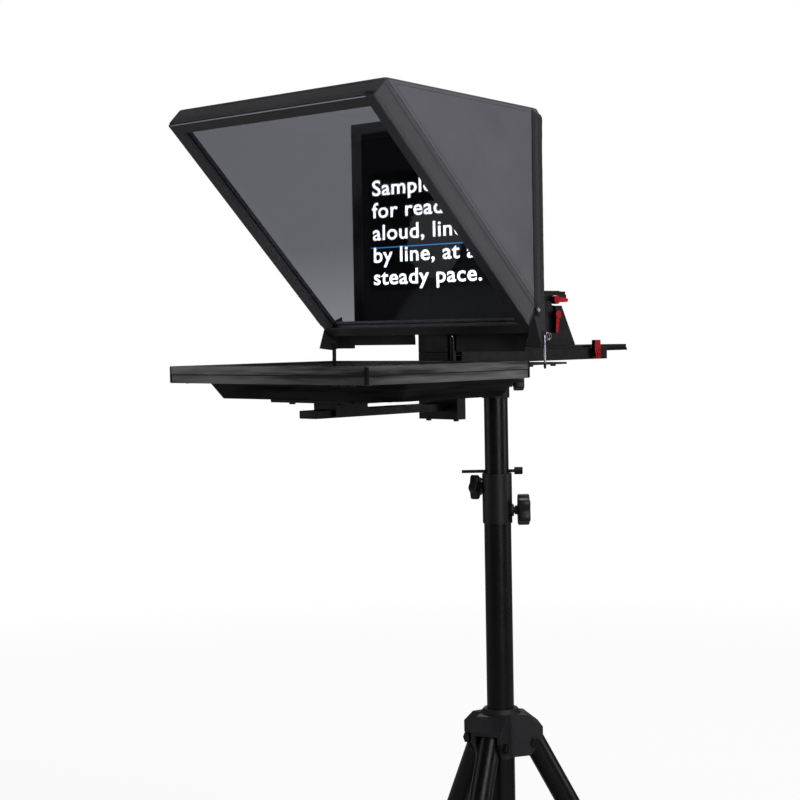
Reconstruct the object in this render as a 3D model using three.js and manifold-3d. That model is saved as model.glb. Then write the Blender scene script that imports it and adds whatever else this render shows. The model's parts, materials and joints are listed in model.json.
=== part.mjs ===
// Camera teleprompter on a tripod stand: a fabric hood with a sloping beam-splitter glass,
// a flat monitor lying face up below the glass, a camera sled behind it and a stand below.
//
// Units are millimetres, +Z is up. The person being filmed stands on the -Y side and the
// camera on the +Y side; +X is to the right as seen by the person being filmed.
// The origin is the middle of the footprint, on the floor.
//
// Run with Node 22 and the npm packages `three` and `manifold-3d`.

import * as THREE from 'three';
import { mergeVertices } from 'three/addons/utils/BufferGeometryUtils.js';
import Module from 'manifold-3d';

const wasm = await Module();
wasm.setup();

// ---------------------------------------------------------------- driving dimensions

const GAP = 0.3;                 // clearance between neighbouring pieces

const HEAD_HEIGHT = 1210;        // lower front edge of the glass frame, above the floor
const HEAD_SETBACK = 157;        // that edge, in front of the stand's axis

const FRAME_WIDTH = 436;         // outside width of the glass frame, fabric included
const FRAME_LENGTH = 451;        // outside length of the frame, up the slope
const FRAME_SLOPE = 45;          // degrees between the glass and the floor
const FRAME_DEPTH = 30;          // bars, measured square to the glass
const BAR_WIDTH = 18;            // front face of each bar
const GLASS_THICKNESS = 4;
const GLASS_RECESS = 8;          // glass behind the front face
const FABRIC = 1.6;              // hood fabric, two layers with a stiffener
const HOOD_DEPTH = 34;           // frame plus the fabric fixed to its back
const HOOD_BACK = 20.7;          // front surface of the rear curtain
const HOOD_TOP_BACK = 325;       // height of the hood at the rear curtain

const HINGE_HALF = 30.8;         // half width of the hinge that carries the hood
const HINGE_FRONT = 13.8;
const HINGE_BACK = 44;
const HINGE_JOINT = -26;         // joint between the hinge's leaf and its base

const MONITOR_WIDTH = 419;
const MONITOR_DEPTH = 330;
const MONITOR_FRONT = -332;
const MONITOR_TOP = -38;
const MONITOR_SEAM = -50.5;      // joint between the bezel and the rear cover
const MONITOR_UNDER = -63;       // underside around the bulge
const BULGE_UNDER = -88.5;       // underside of the bulge
const SCREEN_WIDTH = 376;
const SCREEN_DEPTH = 301;
const BEZEL_FRONT = 17;          // bezel beside the screen, at the talent's side

const ARM_WIDTH = 35;
const ARM_TOP = -104;
const ARM_UNDER = -115.5;
const ARM_FRONT = -248;
const ARM_BACK = 62;

const BASE_HALF = 45;            // half width of the base rail
const BASE_UNDER = -44;
const BASE_FLOOR = -31;          // sliding surface inside the base rail
const BASE_FRONT = 30;
const BASE_BACK = 387;
const GUIDE_TOP = -25;           // upper edge of the rail's undercut guides
const GUIDE_ROOT = 3;            // width of a guide at the sliding surface
const GUIDE_MOUTH = 6;           // and at its upper edge
const SLED_FRONT = 96;
const SLED_BACK = 447;
const SLED_TOP = -20.7;
const RISER_TOP = 44.4;          // top of the fixed riser bracket
const DECK_TOP = 51.4;           // top of the lifting camera support
const CAMERA_PLATE_TOP = 67.6;
const CAMERA_PLATE_FRONT = 168;
const CAMERA_PLATE_BACK = 300;
const CAMERA_SCREW_Y = 232;

const RISER_FRONT_FOOT = 132;
const RISER_BACK_FOOT = 313;
const RISER_FRONT_TOP = 160;
const RISER_BACK_TOP = 279;
const RISER_OUTER = 38;          // half width of the riser bracket
const RISER_WALL = 5;
const RISER_LEVER_Y = 260;
const RISER_LEVER_Z = 30;
const RISER_LIFT = 20;           // travel of the camera support
const CLAMP_HALF = 34;
const CLAMP_FRONT = 188;
const CLAMP_BACK = 296;
const CLAMP_LEVER_Y = 262;

const TUBE_END = -56;            // end of the column tube inside the head socket
const HEAD_KNOB_HEIGHT = -77.5;
const UPPER_TUBE_RADIUS = 19;
const LOWER_TUBE_RADIUS = 21.6;
const TUBE_WALL = 2;
const COLLAR_RADIUS = 23.7;
const COLLAR_TOP = 989;
const COLLAR_UNDER = 909;
const LOWER_TUBE_FOOT = 52;
const UPPER_TUBE_FOOT = 690;

const HUB_TOP = 612;
const HUB_UNDER = 535;
const LEG_PIVOT_HEIGHT = 558;
const LEG_PIVOT_RADIUS = 52;     // leg pivot, out from the stand's axis
const LEG_RADIUS = 18;
const LEG_SPREAD = 28.1;         // degrees between a leg and the column
const LEG_DIRECTIONS = [-70, 50, 170];
const FOOT_RADIUS = 23;

const BRACE_LENGTH = 235;        // between the pivots, and leg pivot to brace pivot too
const BRACE_OFFSET = 34;         // brace pivot, inward from the leg's axis
const SPIDER_PIVOT_RADIUS = 28;

const radians = THREE.MathUtils.degToRad;
const slope = radians(FRAME_SLOPE);
const spread = radians(LEG_SPREAD);

// ---------------------------------------------------------------- materials

function look(color, roughness, metalness) {
  return new THREE.MeshStandardMaterial({ color, roughness, metalness });
}

const looks = {
  anodised: () => look(0x26252b, 0.45, 0.6),
  powder: () => look(0x1b1b1e, 0.5, 0.2),
  fabric: () => look(0x55545a, 0.95, 0),
  darkFabric: () => look(0x3f3f45, 0.95, 0),
  glass: () => look(0x9a9ba3, 0.05, 0),
  display: () => look(0x08080a, 0.15, 0),
  casing: () => look(0x2b2b30, 0.35, 0),
  satinSteel: () => look(0x151517, 0.4, 0.5),
  castAlloy: () => look(0x232327, 0.55, 0.3),
  redAnodised: () => look(0xc8141c, 0.35, 0.6),
  brightSteel: () => look(0xb5b6ba, 0.3, 1),
  plastic: () => look(0x121214, 0.45, 0),
  rubber: () => look(0x17171a, 0.9, 0),
  board: () => look(0x1f4a2e, 0.6, 0),
};

// ---------------------------------------------------------------- shape helpers

// Directions for a prism. UPRIGHT: outline in (x, y), running up. ALONG_X: outline in (y, z),
// running along +X. ALONG_Y: outline in (x, z), running along -Y, so a run from a to b covers
// y = -b to -a.
const xAxis = new THREE.Vector3(1, 0, 0);
const yAxis = new THREE.Vector3(0, 1, 0);
const zAxis = new THREE.Vector3(0, 0, 1);
const UPRIGHT = new THREE.Matrix4();
const ALONG_X = new THREE.Matrix4().makeBasis(yAxis, zAxis, xAxis);
const ALONG_Y = new THREE.Matrix4().makeBasis(xAxis, zAxis, yAxis.clone().negate());

function outline(points) {
  return new THREE.Shape(points.map(([a, b]) => new THREE.Vector2(a, b)));
}

function prism(shape, from, to, direction = UPRIGHT, curveSegments = 6) {
  const flat = Array.isArray(shape) ? outline(shape) : shape;
  const depth = to - from;
  const geometry = new THREE.ExtrudeGeometry(flat, { depth, bevelEnabled: false, curveSegments });
  geometry.translate(0, 0, from);
  return geometry.applyMatrix4(direction);
}

function block([x0, x1], [y0, y1], [z0, z1]) {
  const geometry = new THREE.BoxGeometry(x1 - x0, y1 - y0, z1 - z0);
  return geometry.translate((x0 + x1) / 2, (y0 + y1) / 2, (z0 + z1) / 2);
}

function roundedOutline(width, depth, radius, centreX = 0, centreY = 0) {
  const shape = new THREE.Shape();
  const corners = [[1, -1, -90], [1, 1, 0], [-1, 1, 90], [-1, -1, 180]];
  for (const [sx, sy, start] of corners) {
    const x = centreX + sx * (width / 2 - radius);
    const y = centreY + sy * (depth / 2 - radius);
    shape.absarc(x, y, radius, radians(start), radians(start + 90), false);
  }
  shape.closePath();
  return shape;
}

function rod(radius, from, to, segments = 24, endRadius = radius) {
  const start = new THREE.Vector3(...from);
  const end = new THREE.Vector3(...to);
  const run = end.clone().sub(start);
  const geometry = new THREE.CylinderGeometry(endRadius, radius, run.length(), segments);
  geometry.translate(0, run.length() / 2, 0);
  const turn = new THREE.Quaternion().setFromUnitVectors(yAxis, run.clone().normalize());
  geometry.applyQuaternion(turn);
  return geometry.translate(start.x, start.y, start.z);
}

// A solid of revolution about Z, from closed [radius, height] points.
function turned(points, segments = 36) {
  const closed = [...points, points[0]];
  const profile = closed.map(([radius, height]) => new THREE.Vector2(radius, height));
  return new THREE.LatheGeometry(profile, segments).rotateX(Math.PI / 2);
}

function pipe(outer, inner, foot, top, segments = 36) {
  return turned([[inner, foot], [outer, foot], [outer, top], [inner, top]], segments);
}

function toSolid(geometry) {
  const bare = geometry.clone();
  bare.deleteAttribute('normal');
  bare.deleteAttribute('uv');
  const welded = mergeVertices(bare, 1e-4);
  const used = [];
  const index = welded.index.array;
  for (let i = 0; i < index.length; i += 3) {
    const [a, b, c] = [index[i], index[i + 1], index[i + 2]];
    if (a !== b && b !== c && c !== a) used.push(a, b, c);
  }
  return new wasm.Manifold(new wasm.Mesh({
    numProp: 3,
    vertProperties: Float32Array.from(welded.attributes.position.array),
    triVerts: Uint32Array.from(used),
  }));
}

function toGeometry(solid) {
  const mesh = solid.getMesh();
  const geometry = new THREE.BufferGeometry();
  geometry.setAttribute('position', new THREE.BufferAttribute(mesh.vertProperties, 3));
  geometry.setIndex(new THREE.BufferAttribute(mesh.triVerts, 1));
  const flat = geometry.toNonIndexed();
  flat.computeVertexNormals();
  return flat;
}

// Joins the geometries of `added`, then takes away the geometries of `removed`.
function shaped(added, removed = []) {
  let solid = toSolid(added[0]);
  for (const geometry of added.slice(1)) solid = solid.add(toSolid(geometry));
  for (const geometry of removed) solid = solid.subtract(toSolid(geometry));
  return toGeometry(solid);
}

function place(parent, name, geometry, material) {
  const mesh = new THREE.Mesh(geometry, material);
  mesh.name = name;
  parent.add(mesh);
  return mesh;
}

function assembly(parent, x = 0, y = 0, z = 0) {
  const group = new THREE.Group();
  group.position.set(x, y, z);
  parent.add(group);
  return group;
}

// ---------------------------------------------------------------- glass frame

// Local axes of the sloping frame: X across, Y up the slope, -Z through the glass to the back.
function mitredBar(profile, length) {
  const geometry = prism(profile, 0, 1, ALONG_X);
  const position = geometry.attributes.position;
  for (let i = 0; i < position.count; i += 1) {
    const inset = position.getY(i) + GAP / 2;
    position.setX(i, -length / 2 + inset + position.getX(i) * (length - 2 * inset));
  }
  return geometry;
}

function addGlassFrame(parent) {
  const frame = assembly(parent);
  frame.rotation.x = Math.PI - slope;
  const width = FRAME_WIDTH - 2 * (FABRIC + GAP);
  const length = FRAME_LENGTH - 2 * (FABRIC + GAP);
  const lip = BAR_WIDTH - 1.5;
  const groove = 10;
  const bead = 12;
  const glassBack = GLASS_RECESS + GLASS_THICKNESS + GAP;
  const profile = [
    [0, 0],
    [BAR_WIDTH - 1, 0],
    [BAR_WIDTH, -1],
    [BAR_WIDTH, -GLASS_RECESS + 2],
    [lip, -GLASS_RECESS + GAP],
    [groove, -GLASS_RECESS + GAP],
    [groove, -glassBack],
    [bead, -glassBack],
    [bead, -FRAME_DEPTH],
    [0, -FRAME_DEPTH],
  ].reverse();
  const bars = [
    ['frame_bar_bottom', width, 0, 0, -length / 2],
    ['frame_bar_right', length, 90, width / 2, 0],
    ['frame_bar_top', width, 180, 0, length / 2],
    ['frame_bar_left', length, -90, -width / 2, 0],
  ];
  for (const [name, run, turn, x, y] of bars) {
    const bar = place(frame, name, mitredBar(profile, run), looks.anodised());
    bar.rotation.z = radians(turn);
    bar.position.set(x, FRAME_LENGTH / 2 + y, 0);
  }
  const inset = groove + GAP;
  const pane = new THREE.BoxGeometry(width - 2 * inset, length - 2 * inset, GLASS_THICKNESS);
  const glass = place(frame, 'beam_splitter_glass', pane, looks.glass());
  glass.position.set(0, FRAME_LENGTH / 2, -GLASS_RECESS - GLASS_THICKNESS / 2);
}

// ---------------------------------------------------------------- hood

// A point of the side view: `up` along the slope of the frame, `back` square to it.
function slopePoint(up, back) {
  return [
    back * Math.sin(slope) - up * Math.cos(slope),
    up * Math.sin(slope) + back * Math.cos(slope),
  ];
}

const RETURN_WIDTH = 22;         // rear curtain folded round onto the side panels
const CORNER_CHAMFER = 11;

function addHoodFlaps(parent) {
  const side = FRAME_WIDTH / 2;
  const flapBack = HOOD_DEPTH - GAP;
  const lowerEnd = 25;
  const lowerSlant = 3;
  const upperEnd = FRAME_LENGTH - FABRIC - GAP;
  const flap = [
    slopePoint(lowerEnd, 0),
    slopePoint(lowerEnd + lowerSlant, flapBack),
    slopePoint(upperEnd, flapBack),
    slopePoint(upperEnd, 0),
  ].reverse();
  const rightFlap = prism(flap, side - FABRIC, side, ALONG_X);
  const leftFlap = prism(flap, -side, -side + FABRIC, ALONG_X);
  place(parent, 'hood_flap_right', rightFlap, looks.darkFabric());
  place(parent, 'hood_flap_left', leftFlap, looks.darkFabric());

  const top = assembly(parent);
  top.rotation.x = Math.PI - slope;
  top.position.set(0, ...slopePoint(FRAME_LENGTH - FABRIC, 0));
  const chamfer = 5;
  const tab = 16;
  const topFlap = [
    [-side + chamfer, 0],
    [side - tab, 0],
    [side - tab / 2, -chamfer],
    [side, -chamfer],
    [side, -HOOD_DEPTH],
    [-side, -HOOD_DEPTH],
    [-side, -chamfer],
  ].reverse();
  const cover = prism(topFlap, -FABRIC, 0, ALONG_Y);
  place(top, 'hood_flap_top', cover, looks.darkFabric());
}

function addHoodPanels(parent) {
  const side = FRAME_WIDTH / 2;
  const seam = GAP + HOOD_DEPTH;
  const [frontY, frontZ] = slopePoint(FRAME_LENGTH, seam);
  const cornerY = HOOD_BACK - GAP;
  const seamFoot = seam - cornerY * Math.SQRT2;
  const [, footZ] = slopePoint(seamFoot, seam);
  const topDrop = FABRIC + GAP;
  const panel = [
    [frontY + topDrop, frontZ - topDrop],
    [cornerY, footZ],
    [cornerY, HOOD_TOP_BACK - topDrop - CORNER_CHAMFER],
    [cornerY - CORNER_CHAMFER, HOOD_TOP_BACK - topDrop],
  ];
  const rightPanel = prism(panel, side - FABRIC, side, ALONG_X);
  const leftPanel = prism(panel, -side, -side + FABRIC, ALONG_X);
  place(parent, 'hood_side_right', rightPanel, looks.fabric());
  place(parent, 'hood_side_left', leftPanel, looks.fabric());

  const roof = [
    [frontY + FABRIC, frontZ - FABRIC],
    [cornerY - CORNER_CHAMFER, HOOD_TOP_BACK - FABRIC],
    [cornerY, HOOD_TOP_BACK - FABRIC - CORNER_CHAMFER],
    [cornerY, HOOD_TOP_BACK - CORNER_CHAMFER],
    [cornerY - CORNER_CHAMFER + 1, HOOD_TOP_BACK],
    [frontY, frontZ],
  ];
  place(parent, 'hood_top', prism(roof, -side, side, ALONG_X), looks.fabric());
}

// The rear curtain: a flat sheet with a round lens opening, folded round onto both side
// panels, with a skirt at each lower corner and a notch for the hinge.
const LENS_RADIUS = 62;
const LENS_HEIGHT = 148;
const CURTAIN_HEM = -14;
const SKIRT_HEM = -19;           // lower hem at the two corners
const NOTCH_HALF = 46;

function addRearCurtain(parent) {
  const side = FRAME_WIDTH / 2 + GAP;
  const back = HOOD_BACK + FABRIC;
  const top = HOOD_TOP_BACK - CORNER_CHAMFER - 1;
  const cutIn = 38;
  const notchTop = 5;
  const half = [
    [NOTCH_HALF, notchTop],
    [NOTCH_HALF, CURTAIN_HEM],
    [side - cutIn, CURTAIN_HEM],
    [side - cutIn, SKIRT_HEM],
    [side + FABRIC, SKIRT_HEM],
    [side + FABRIC, top],
  ];
  const mirrored = half.map(([x, z]) => [-x, z]).reverse();
  const sheet = new THREE.Shape([...half, ...mirrored].map(([x, z]) => new THREE.Vector2(x, z)));
  const lens = new THREE.Path();
  lens.absarc(0, LENS_HEIGHT, LENS_RADIUS, 0, 2 * Math.PI, true);
  sheet.holes.push(lens);
  const curtain = prism(sheet, -back, -HOOD_BACK, ALONG_Y, 24);
  const returnFront = back - RETURN_WIDTH;
  const returnRise = 9;            // the return's upper edge follows the falling roof
  const skirtTop = 30;
  const folded = [
    [back, SKIRT_HEM],
    [back, top],
    [back - 3, top + 3],
    [returnFront, top + returnRise],
    [returnFront, skirtTop],
    [returnFront - 12, skirtTop / 2],
    [returnFront - 20, SKIRT_HEM + 1],
    [5, SKIRT_HEM - 2],
  ];
  const returns = [
    prism(folded, side, side + FABRIC, ALONG_X),
    prism(folded, -side - FABRIC, -side, ALONG_X),
  ];
  place(parent, 'hood_rear_curtain', shaped([curtain, ...returns]), looks.darkFabric());
}

// A stiffening bracket screwed under the middle of the hood's top.
function addRoofBracket(parent) {
  const reach = 22;
  const plate = [[-reach - 10, -reach], [reach + 10, -reach], [reach, reach], [-reach, reach]];
  const leaf = prism(plate, -2, 0);
  const screws = [-14, 14].map((x) => rod(2.8, [x, 0, -1], [x, 0, -4], 12));
  const bracket = place(parent, 'roof_bracket', shaped([leaf, ...screws]), looks.plastic());
  const [frontY, frontZ] = slopePoint(FRAME_LENGTH, HOOD_DEPTH);
  const fall = (frontZ - HOOD_TOP_BACK) / (HOOD_BACK - CORNER_CHAMFER - frontY);
  const bracketX = -14;
  const bracketY = -108;
  const ceiling = frontZ - fall * (bracketY - frontY) - FABRIC;
  bracket.rotation.x = -Math.atan(fall);
  bracket.position.set(bracketX, bracketY, ceiling - 1);
}

// A metal pull hanging at the lower right rear corner: eyelet, split ring, swivel, shaft and tip.
function addHoodPull(parent) {
  const eyelet = new THREE.TorusGeometry(3.4, 0.8, 8, 20).rotateY(Math.PI / 2);
  const ring = new THREE.TorusGeometry(5.6, 0.7, 8, 24).rotateY(Math.PI / 2);
  ring.translate(0, 8.4, -4);
  const swivel = rod(2.1, [0, 0, -3.4], [0, 0, -14], 14);
  const shaft = rod(1.5, [0, 0, -13], [0, 0, -44], 12);
  const tip = rod(2, [0, 0, -43], [0, 0, -52], 14, 1.7);
  const pull = place(parent, 'hood_pull', shaped([eyelet, ring, swivel, shaft, tip]), looks.brightSteel());
  pull.position.set(FRAME_WIDTH / 2 + 5, 14.8, 1.5);
}

// A webbing strap with an eyelet, hanging at the lower left rear corner.
function addHoodStrap(parent) {
  const strap = roundedOutline(8, 58, 1.5, 0, -27);
  const hole = new THREE.Path();
  hole.absarc(0, -2, 1.8, 0, 2 * Math.PI, true);
  strap.holes.push(hole);
  const web = prism(strap, -1, 1, ALONG_Y);
  const mesh = place(parent, 'hood_strap', web, looks.darkFabric());
  mesh.position.set(-FRAME_WIDTH / 2 + 4, 6.8, -5);
}

function addHoodHinge(parent) {
  const rise = 1.2;                // the leaf's slanted top runs along the back of the frame
  const topBack = 18.4;
  const leaf = [
    [HINGE_FRONT, HINGE_JOINT + GAP],
    [HINGE_BACK, HINGE_JOINT + GAP],
    [HINGE_BACK, HINGE_JOINT + 4],
    [25, -2],
    [20.2, 3],
    [topBack, topBack + rise],
    [HINGE_FRONT, HINGE_FRONT + rise],
  ];
  const shape = prism(leaf, -HINGE_HALF, HINGE_HALF, ALONG_X);
  place(parent, 'hood_hinge_leaf', shape, looks.anodised());
}

// ---------------------------------------------------------------- base and camera sled

function addHingeBase(parent) {
  const profile = [
    [HINGE_FRONT, BASE_UNDER],
    [BASE_FRONT - GAP, BASE_UNDER],
    [BASE_FRONT - GAP, BASE_FLOOR + GAP],
    [HINGE_BACK, BASE_FLOOR + GAP],
    [HINGE_BACK, HINGE_JOINT],
    [HINGE_FRONT, HINGE_JOINT],
  ];
  const shape = prism(profile, -HINGE_HALF, HINGE_HALF, ALONG_X);
  place(parent, 'hinge_base', shape, looks.anodised());
  const postX = 36.1;
  const postY = 20.4;
  const post = rod(4.8, [postX, postY, BASE_UNDER], [postX, postY, -3], 20);
  place(parent, 'hood_guide_post', post, looks.satinSteel());
}

function addHangingBlock(parent) {
  const half = 40.7;
  const foot = -129;
  const top = BASE_UNDER - GAP;
  const front = 22.9;
  const back = 42;
  const shelfFront = 14;
  const shelfUnder = top - 12;
  const profile = [
    [front, foot],
    [back, foot],
    [back, top],
    [shelfFront, top],
    [shelfFront, shelfUnder],
    [front, shelfUnder],
  ];
  const plate = prism(profile, -half, half, ALONG_X);
  const armHole = block(
    [-ARM_WIDTH / 2 - GAP, ARM_WIDTH / 2 + GAP], [0, 60], [ARM_UNDER - GAP, ARM_TOP + GAP]);
  place(parent, 'hanging_block', shaped([plate], [armHole]), looks.anodised());
}

function addBaseRail(parent) {
  const profile = [
    [-BASE_HALF, BASE_UNDER],
    [BASE_HALF, BASE_UNDER],
    [BASE_HALF, GUIDE_TOP],
    [BASE_HALF - GUIDE_MOUTH, GUIDE_TOP],
    [BASE_HALF - GUIDE_ROOT, BASE_FLOOR],
    [-BASE_HALF + GUIDE_ROOT, BASE_FLOOR],
    [-BASE_HALF + GUIDE_MOUTH, GUIDE_TOP],
    [-BASE_HALF, GUIDE_TOP],
  ];
  const rail = prism(profile, -BASE_BACK, -BASE_FRONT, ALONG_Y);
  place(parent, 'base_rail', rail, looks.anodised());
}

function addHeadSocket(parent) {
  const top = BASE_UNDER - GAP;
  const foot = -84;
  const barrelRadius = 27;
  const sleeveRadius = 22;
  const sleeveLength = 17;
  const flangeUnder = top - 4;
  const boreRadius = UPPER_TUBE_RADIUS + GAP;
  const studHoleRadius = 4.4;
  const turn = radians(RIGHT_KNOB_TURN);
  const barrel = rod(barrelRadius, [0, 0, foot], [0, 0, flangeUnder], 36);
  const flange = rod(38, [0, 0, flangeUnder], [0, 0, top], 36);
  const plate = prism(roundedOutline(80, 230, 4, 0, 18), top - 6.2, top - 3, UPRIGHT, 3);
  const sleeve = rod(sleeveRadius, [0, 0, foot - sleeveLength], [0, 0, foot + 1], 36);
  const bore = rod(boreRadius, [0, 0, foot - 30], [0, 0, TUBE_END], 36);
  const studHole = rod(studHoleRadius, [10, 0, HEAD_KNOB_HEIGHT], [40, 0, HEAD_KNOB_HEIGHT]);
  studHole.rotateZ(turn);
  const casting = shaped([barrel, flange, plate, sleeve], [bore, studHole]);
  place(parent, 'head_socket', casting, looks.castAlloy()).position.y = HEAD_SETBACK;

  const knob = place(parent, 'head_clamp_knob', lobedKnob(13.5, 17, 9, 4), looks.plastic());
  knob.position.set(0, HEAD_SETBACK, HEAD_KNOB_HEIGHT);
  knob.rotation.z = turn;
  knob.translateX(UPPER_TUBE_RADIUS + 0.5);
}

function addSled(parent) {
  const under = BASE_FLOOR + GAP;
  const wide = BASE_HALF - GUIDE_ROOT - GAP;
  const narrow = BASE_HALF - GUIDE_MOUTH - GAP;
  const profile = [
    [-wide, under],
    [wide, under],
    [narrow, GUIDE_TOP],
    [narrow, SLED_TOP],
    [-narrow, SLED_TOP],
    [-narrow, GUIDE_TOP],
  ];
  const plate = prism(profile, -SLED_BACK, -SLED_FRONT, ALONG_Y);
  const slotCentre = 385;
  const slot = prism(roundedOutline(9, 70, 4.4, 0, slotCentre), -40, 0);
  place(parent, 'sled_plate', shaped([plate], [slot]), looks.anodised());
}

// A clamp lever: a round hub on a short stud along X, and an arm turned about X from upright.
function leverShape(armLength, studLength, turn) {
  const rootHalf = 4.6;
  const tipRadius = 3.2;
  const tipCentre = armLength - 3;
  const hub = rod(7, [0, 0, 0], [9, 0, 0], 20);
  const arm = new THREE.Shape();
  arm.moveTo(-rootHalf, 0);
  arm.lineTo(-tipRadius, tipCentre);
  arm.absarc(0, tipCentre, tipRadius, Math.PI, 0, true);
  arm.lineTo(rootHalf, 0);
  const blade = prism(arm, 2, 8, ALONG_X).rotateX(turn);
  const parts = [hub, blade];
  if (studLength > 0) parts.push(rod(3, [-studLength, 0, 0], [1, 0, 0], 16));
  return shaped(parts);
}

function addSledLever(parent) {
  const lever = place(parent, 'sled_clamp_lever', leverShape(24, 0, 0), looks.redAnodised());
  lever.position.set(BASE_HALF + GAP, 352, -36.5);
}

function addRiser(parent) {
  const foot = SLED_TOP + GAP;
  const side = [
    [RISER_FRONT_FOOT, foot],
    [RISER_BACK_FOOT, foot],
    [RISER_BACK_TOP, RISER_TOP],
    [RISER_FRONT_TOP, RISER_TOP],
  ];
  const body = prism(side, -RISER_OUTER, RISER_OUTER, ALONG_X);
  const channel = block(
    [-RISER_OUTER + RISER_WALL, RISER_OUTER - RISER_WALL], [0, 400], [foot + 5, RISER_TOP + 10]);
  // The lever's stud sits at the bottom of a slot that is open at the top.
  const slotWidth = 7;
  const slotCentre = RISER_LEVER_Z + RISER_LIFT / 2;
  const slotLength = RISER_LIFT + slotWidth;
  const slot = roundedOutline(slotWidth, slotLength, 3.4, RISER_LEVER_Y, slotCentre);
  const slotCut = prism(slot, 20, 60, ALONG_X);
  place(parent, 'riser_bracket', shaped([body], [channel, slotCut]), looks.anodised());
}

function addCameraSupport(parent) {
  const outer = RISER_OUTER - RISER_WALL - GAP;
  const wall = 4;
  const deck = RISER_TOP + GAP;
  const deckFront = 158;
  const deckBack = 254;
  const cheekFront = 166;
  const cheekFoot = -6;
  const side = [
    [cheekFront, cheekFoot],
    [278, cheekFoot],
    [274, RISER_TOP - 1],
    [deckBack, RISER_TOP + 2],
    [cheekFront, RISER_TOP + 2],
  ];
  const body = prism(side, -outer, outer, ALONG_X);
  const hollow = block([-outer + wall, outer - wall], [0, 400], [cheekFoot - 14, deck]);
  const cap = block([-RISER_OUTER, RISER_OUTER], [deckFront, deckBack], [deck, DECK_TOP]);
  const studHole = rod(3.3, [20, RISER_LEVER_Y, RISER_LEVER_Z], [50, RISER_LEVER_Y, RISER_LEVER_Z], 20);
  const support = shaped([body, cap], [hollow, studHole]);
  place(parent, 'camera_support', support, looks.anodised());

  const stud = RISER_WALL + 5;
  const lever = place(parent, 'riser_clamp_lever', leverShape(30, stud, Math.PI - 0.12), looks.redAnodised());
  lever.position.set(RISER_OUTER + GAP, RISER_LEVER_Y, RISER_LEVER_Z);
}

function addQuickRelease(parent) {
  const foot = DECK_TOP + GAP;
  const jawFloor = 57.5;
  const jawTop = 62.5;
  const jawRoot = CLAMP_HALF - 2.5;
  const jawMouth = CLAMP_HALF - 5;
  const profile = [
    [-CLAMP_HALF, foot],
    [CLAMP_HALF, foot],
    [CLAMP_HALF, jawTop],
    [jawMouth, jawTop],
    [jawRoot, jawFloor],
    [-jawRoot, jawFloor],
    [-jawMouth, jawTop],
    [-CLAMP_HALF, jawTop],
  ];
  const clamp = prism(profile, -CLAMP_BACK, -CLAMP_FRONT, ALONG_Y);
  place(parent, 'quick_release_clamp', clamp, looks.anodised());

  const under = jawFloor + GAP;
  const wide = jawRoot - GAP;
  const narrow = jawMouth - GAP;
  const plateProfile = [
    [-wide, under],
    [wide, under],
    [narrow, jawTop],
    [narrow, CAMERA_PLATE_TOP],
    [-narrow, CAMERA_PLATE_TOP],
    [-narrow, jawTop],
  ];
  const plate = prism(plateProfile, -CAMERA_PLATE_BACK, -CAMERA_PLATE_FRONT, ALONG_Y);
  const screwHole = rod(3.6, [0, CAMERA_SCREW_Y, 40], [0, CAMERA_SCREW_Y, 80], 20);
  const headRoom = rod(8.4, [0, CAMERA_SCREW_Y, 40], [0, CAMERA_SCREW_Y, 62.6], 24);
  place(parent, 'camera_plate', shaped([plate], [screwHole, headRoom]), looks.anodised());

  const thread = rod(3.2, [0, 0, 0], [0, 0, 9.4], 16);
  const head = rod(8, [0, 0, -3.6], [0, 0, 0.4], 24);
  const coin = block([-9, 9], [-0.8, 0.8], [-5, -2.6]);
  const screw = place(parent, 'camera_screw', shaped([head, thread], [coin]), looks.brightSteel());
  screw.position.set(0, CAMERA_SCREW_Y, 61.9);

  const lever = place(parent, 'quick_release_lever', leverShape(28, 0, -1.6), looks.redAnodised());
  lever.position.set(CLAMP_HALF + GAP, CLAMP_LEVER_Y, 54);
}

// ---------------------------------------------------------------- monitor

function tapered(width, depth, radius, centreY, top, foot, shrink) {
  const geometry = prism(roundedOutline(width, depth, radius), foot, top);
  const position = geometry.attributes.position;
  for (let i = 0; i < position.count; i += 1) {
    const low = position.getZ(i) < (foot + top) / 2;
    const scaleX = low ? 1 - (2 * shrink) / width : 1;
    const scaleY = low ? 1 - (2 * shrink * 0.55) / depth : 1;
    position.setX(i, position.getX(i) * scaleX);
    position.setY(i, position.getY(i) * scaleY + centreY);
  }
  return geometry;
}

const BUTTON_X = [120, 138, 156];
const BUTTON_Y = MONITOR_FRONT + 26;
const COVER_WALL = 3;
const BULGE_TAPER = 21;          // how far the bulge's sides lean in

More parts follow.
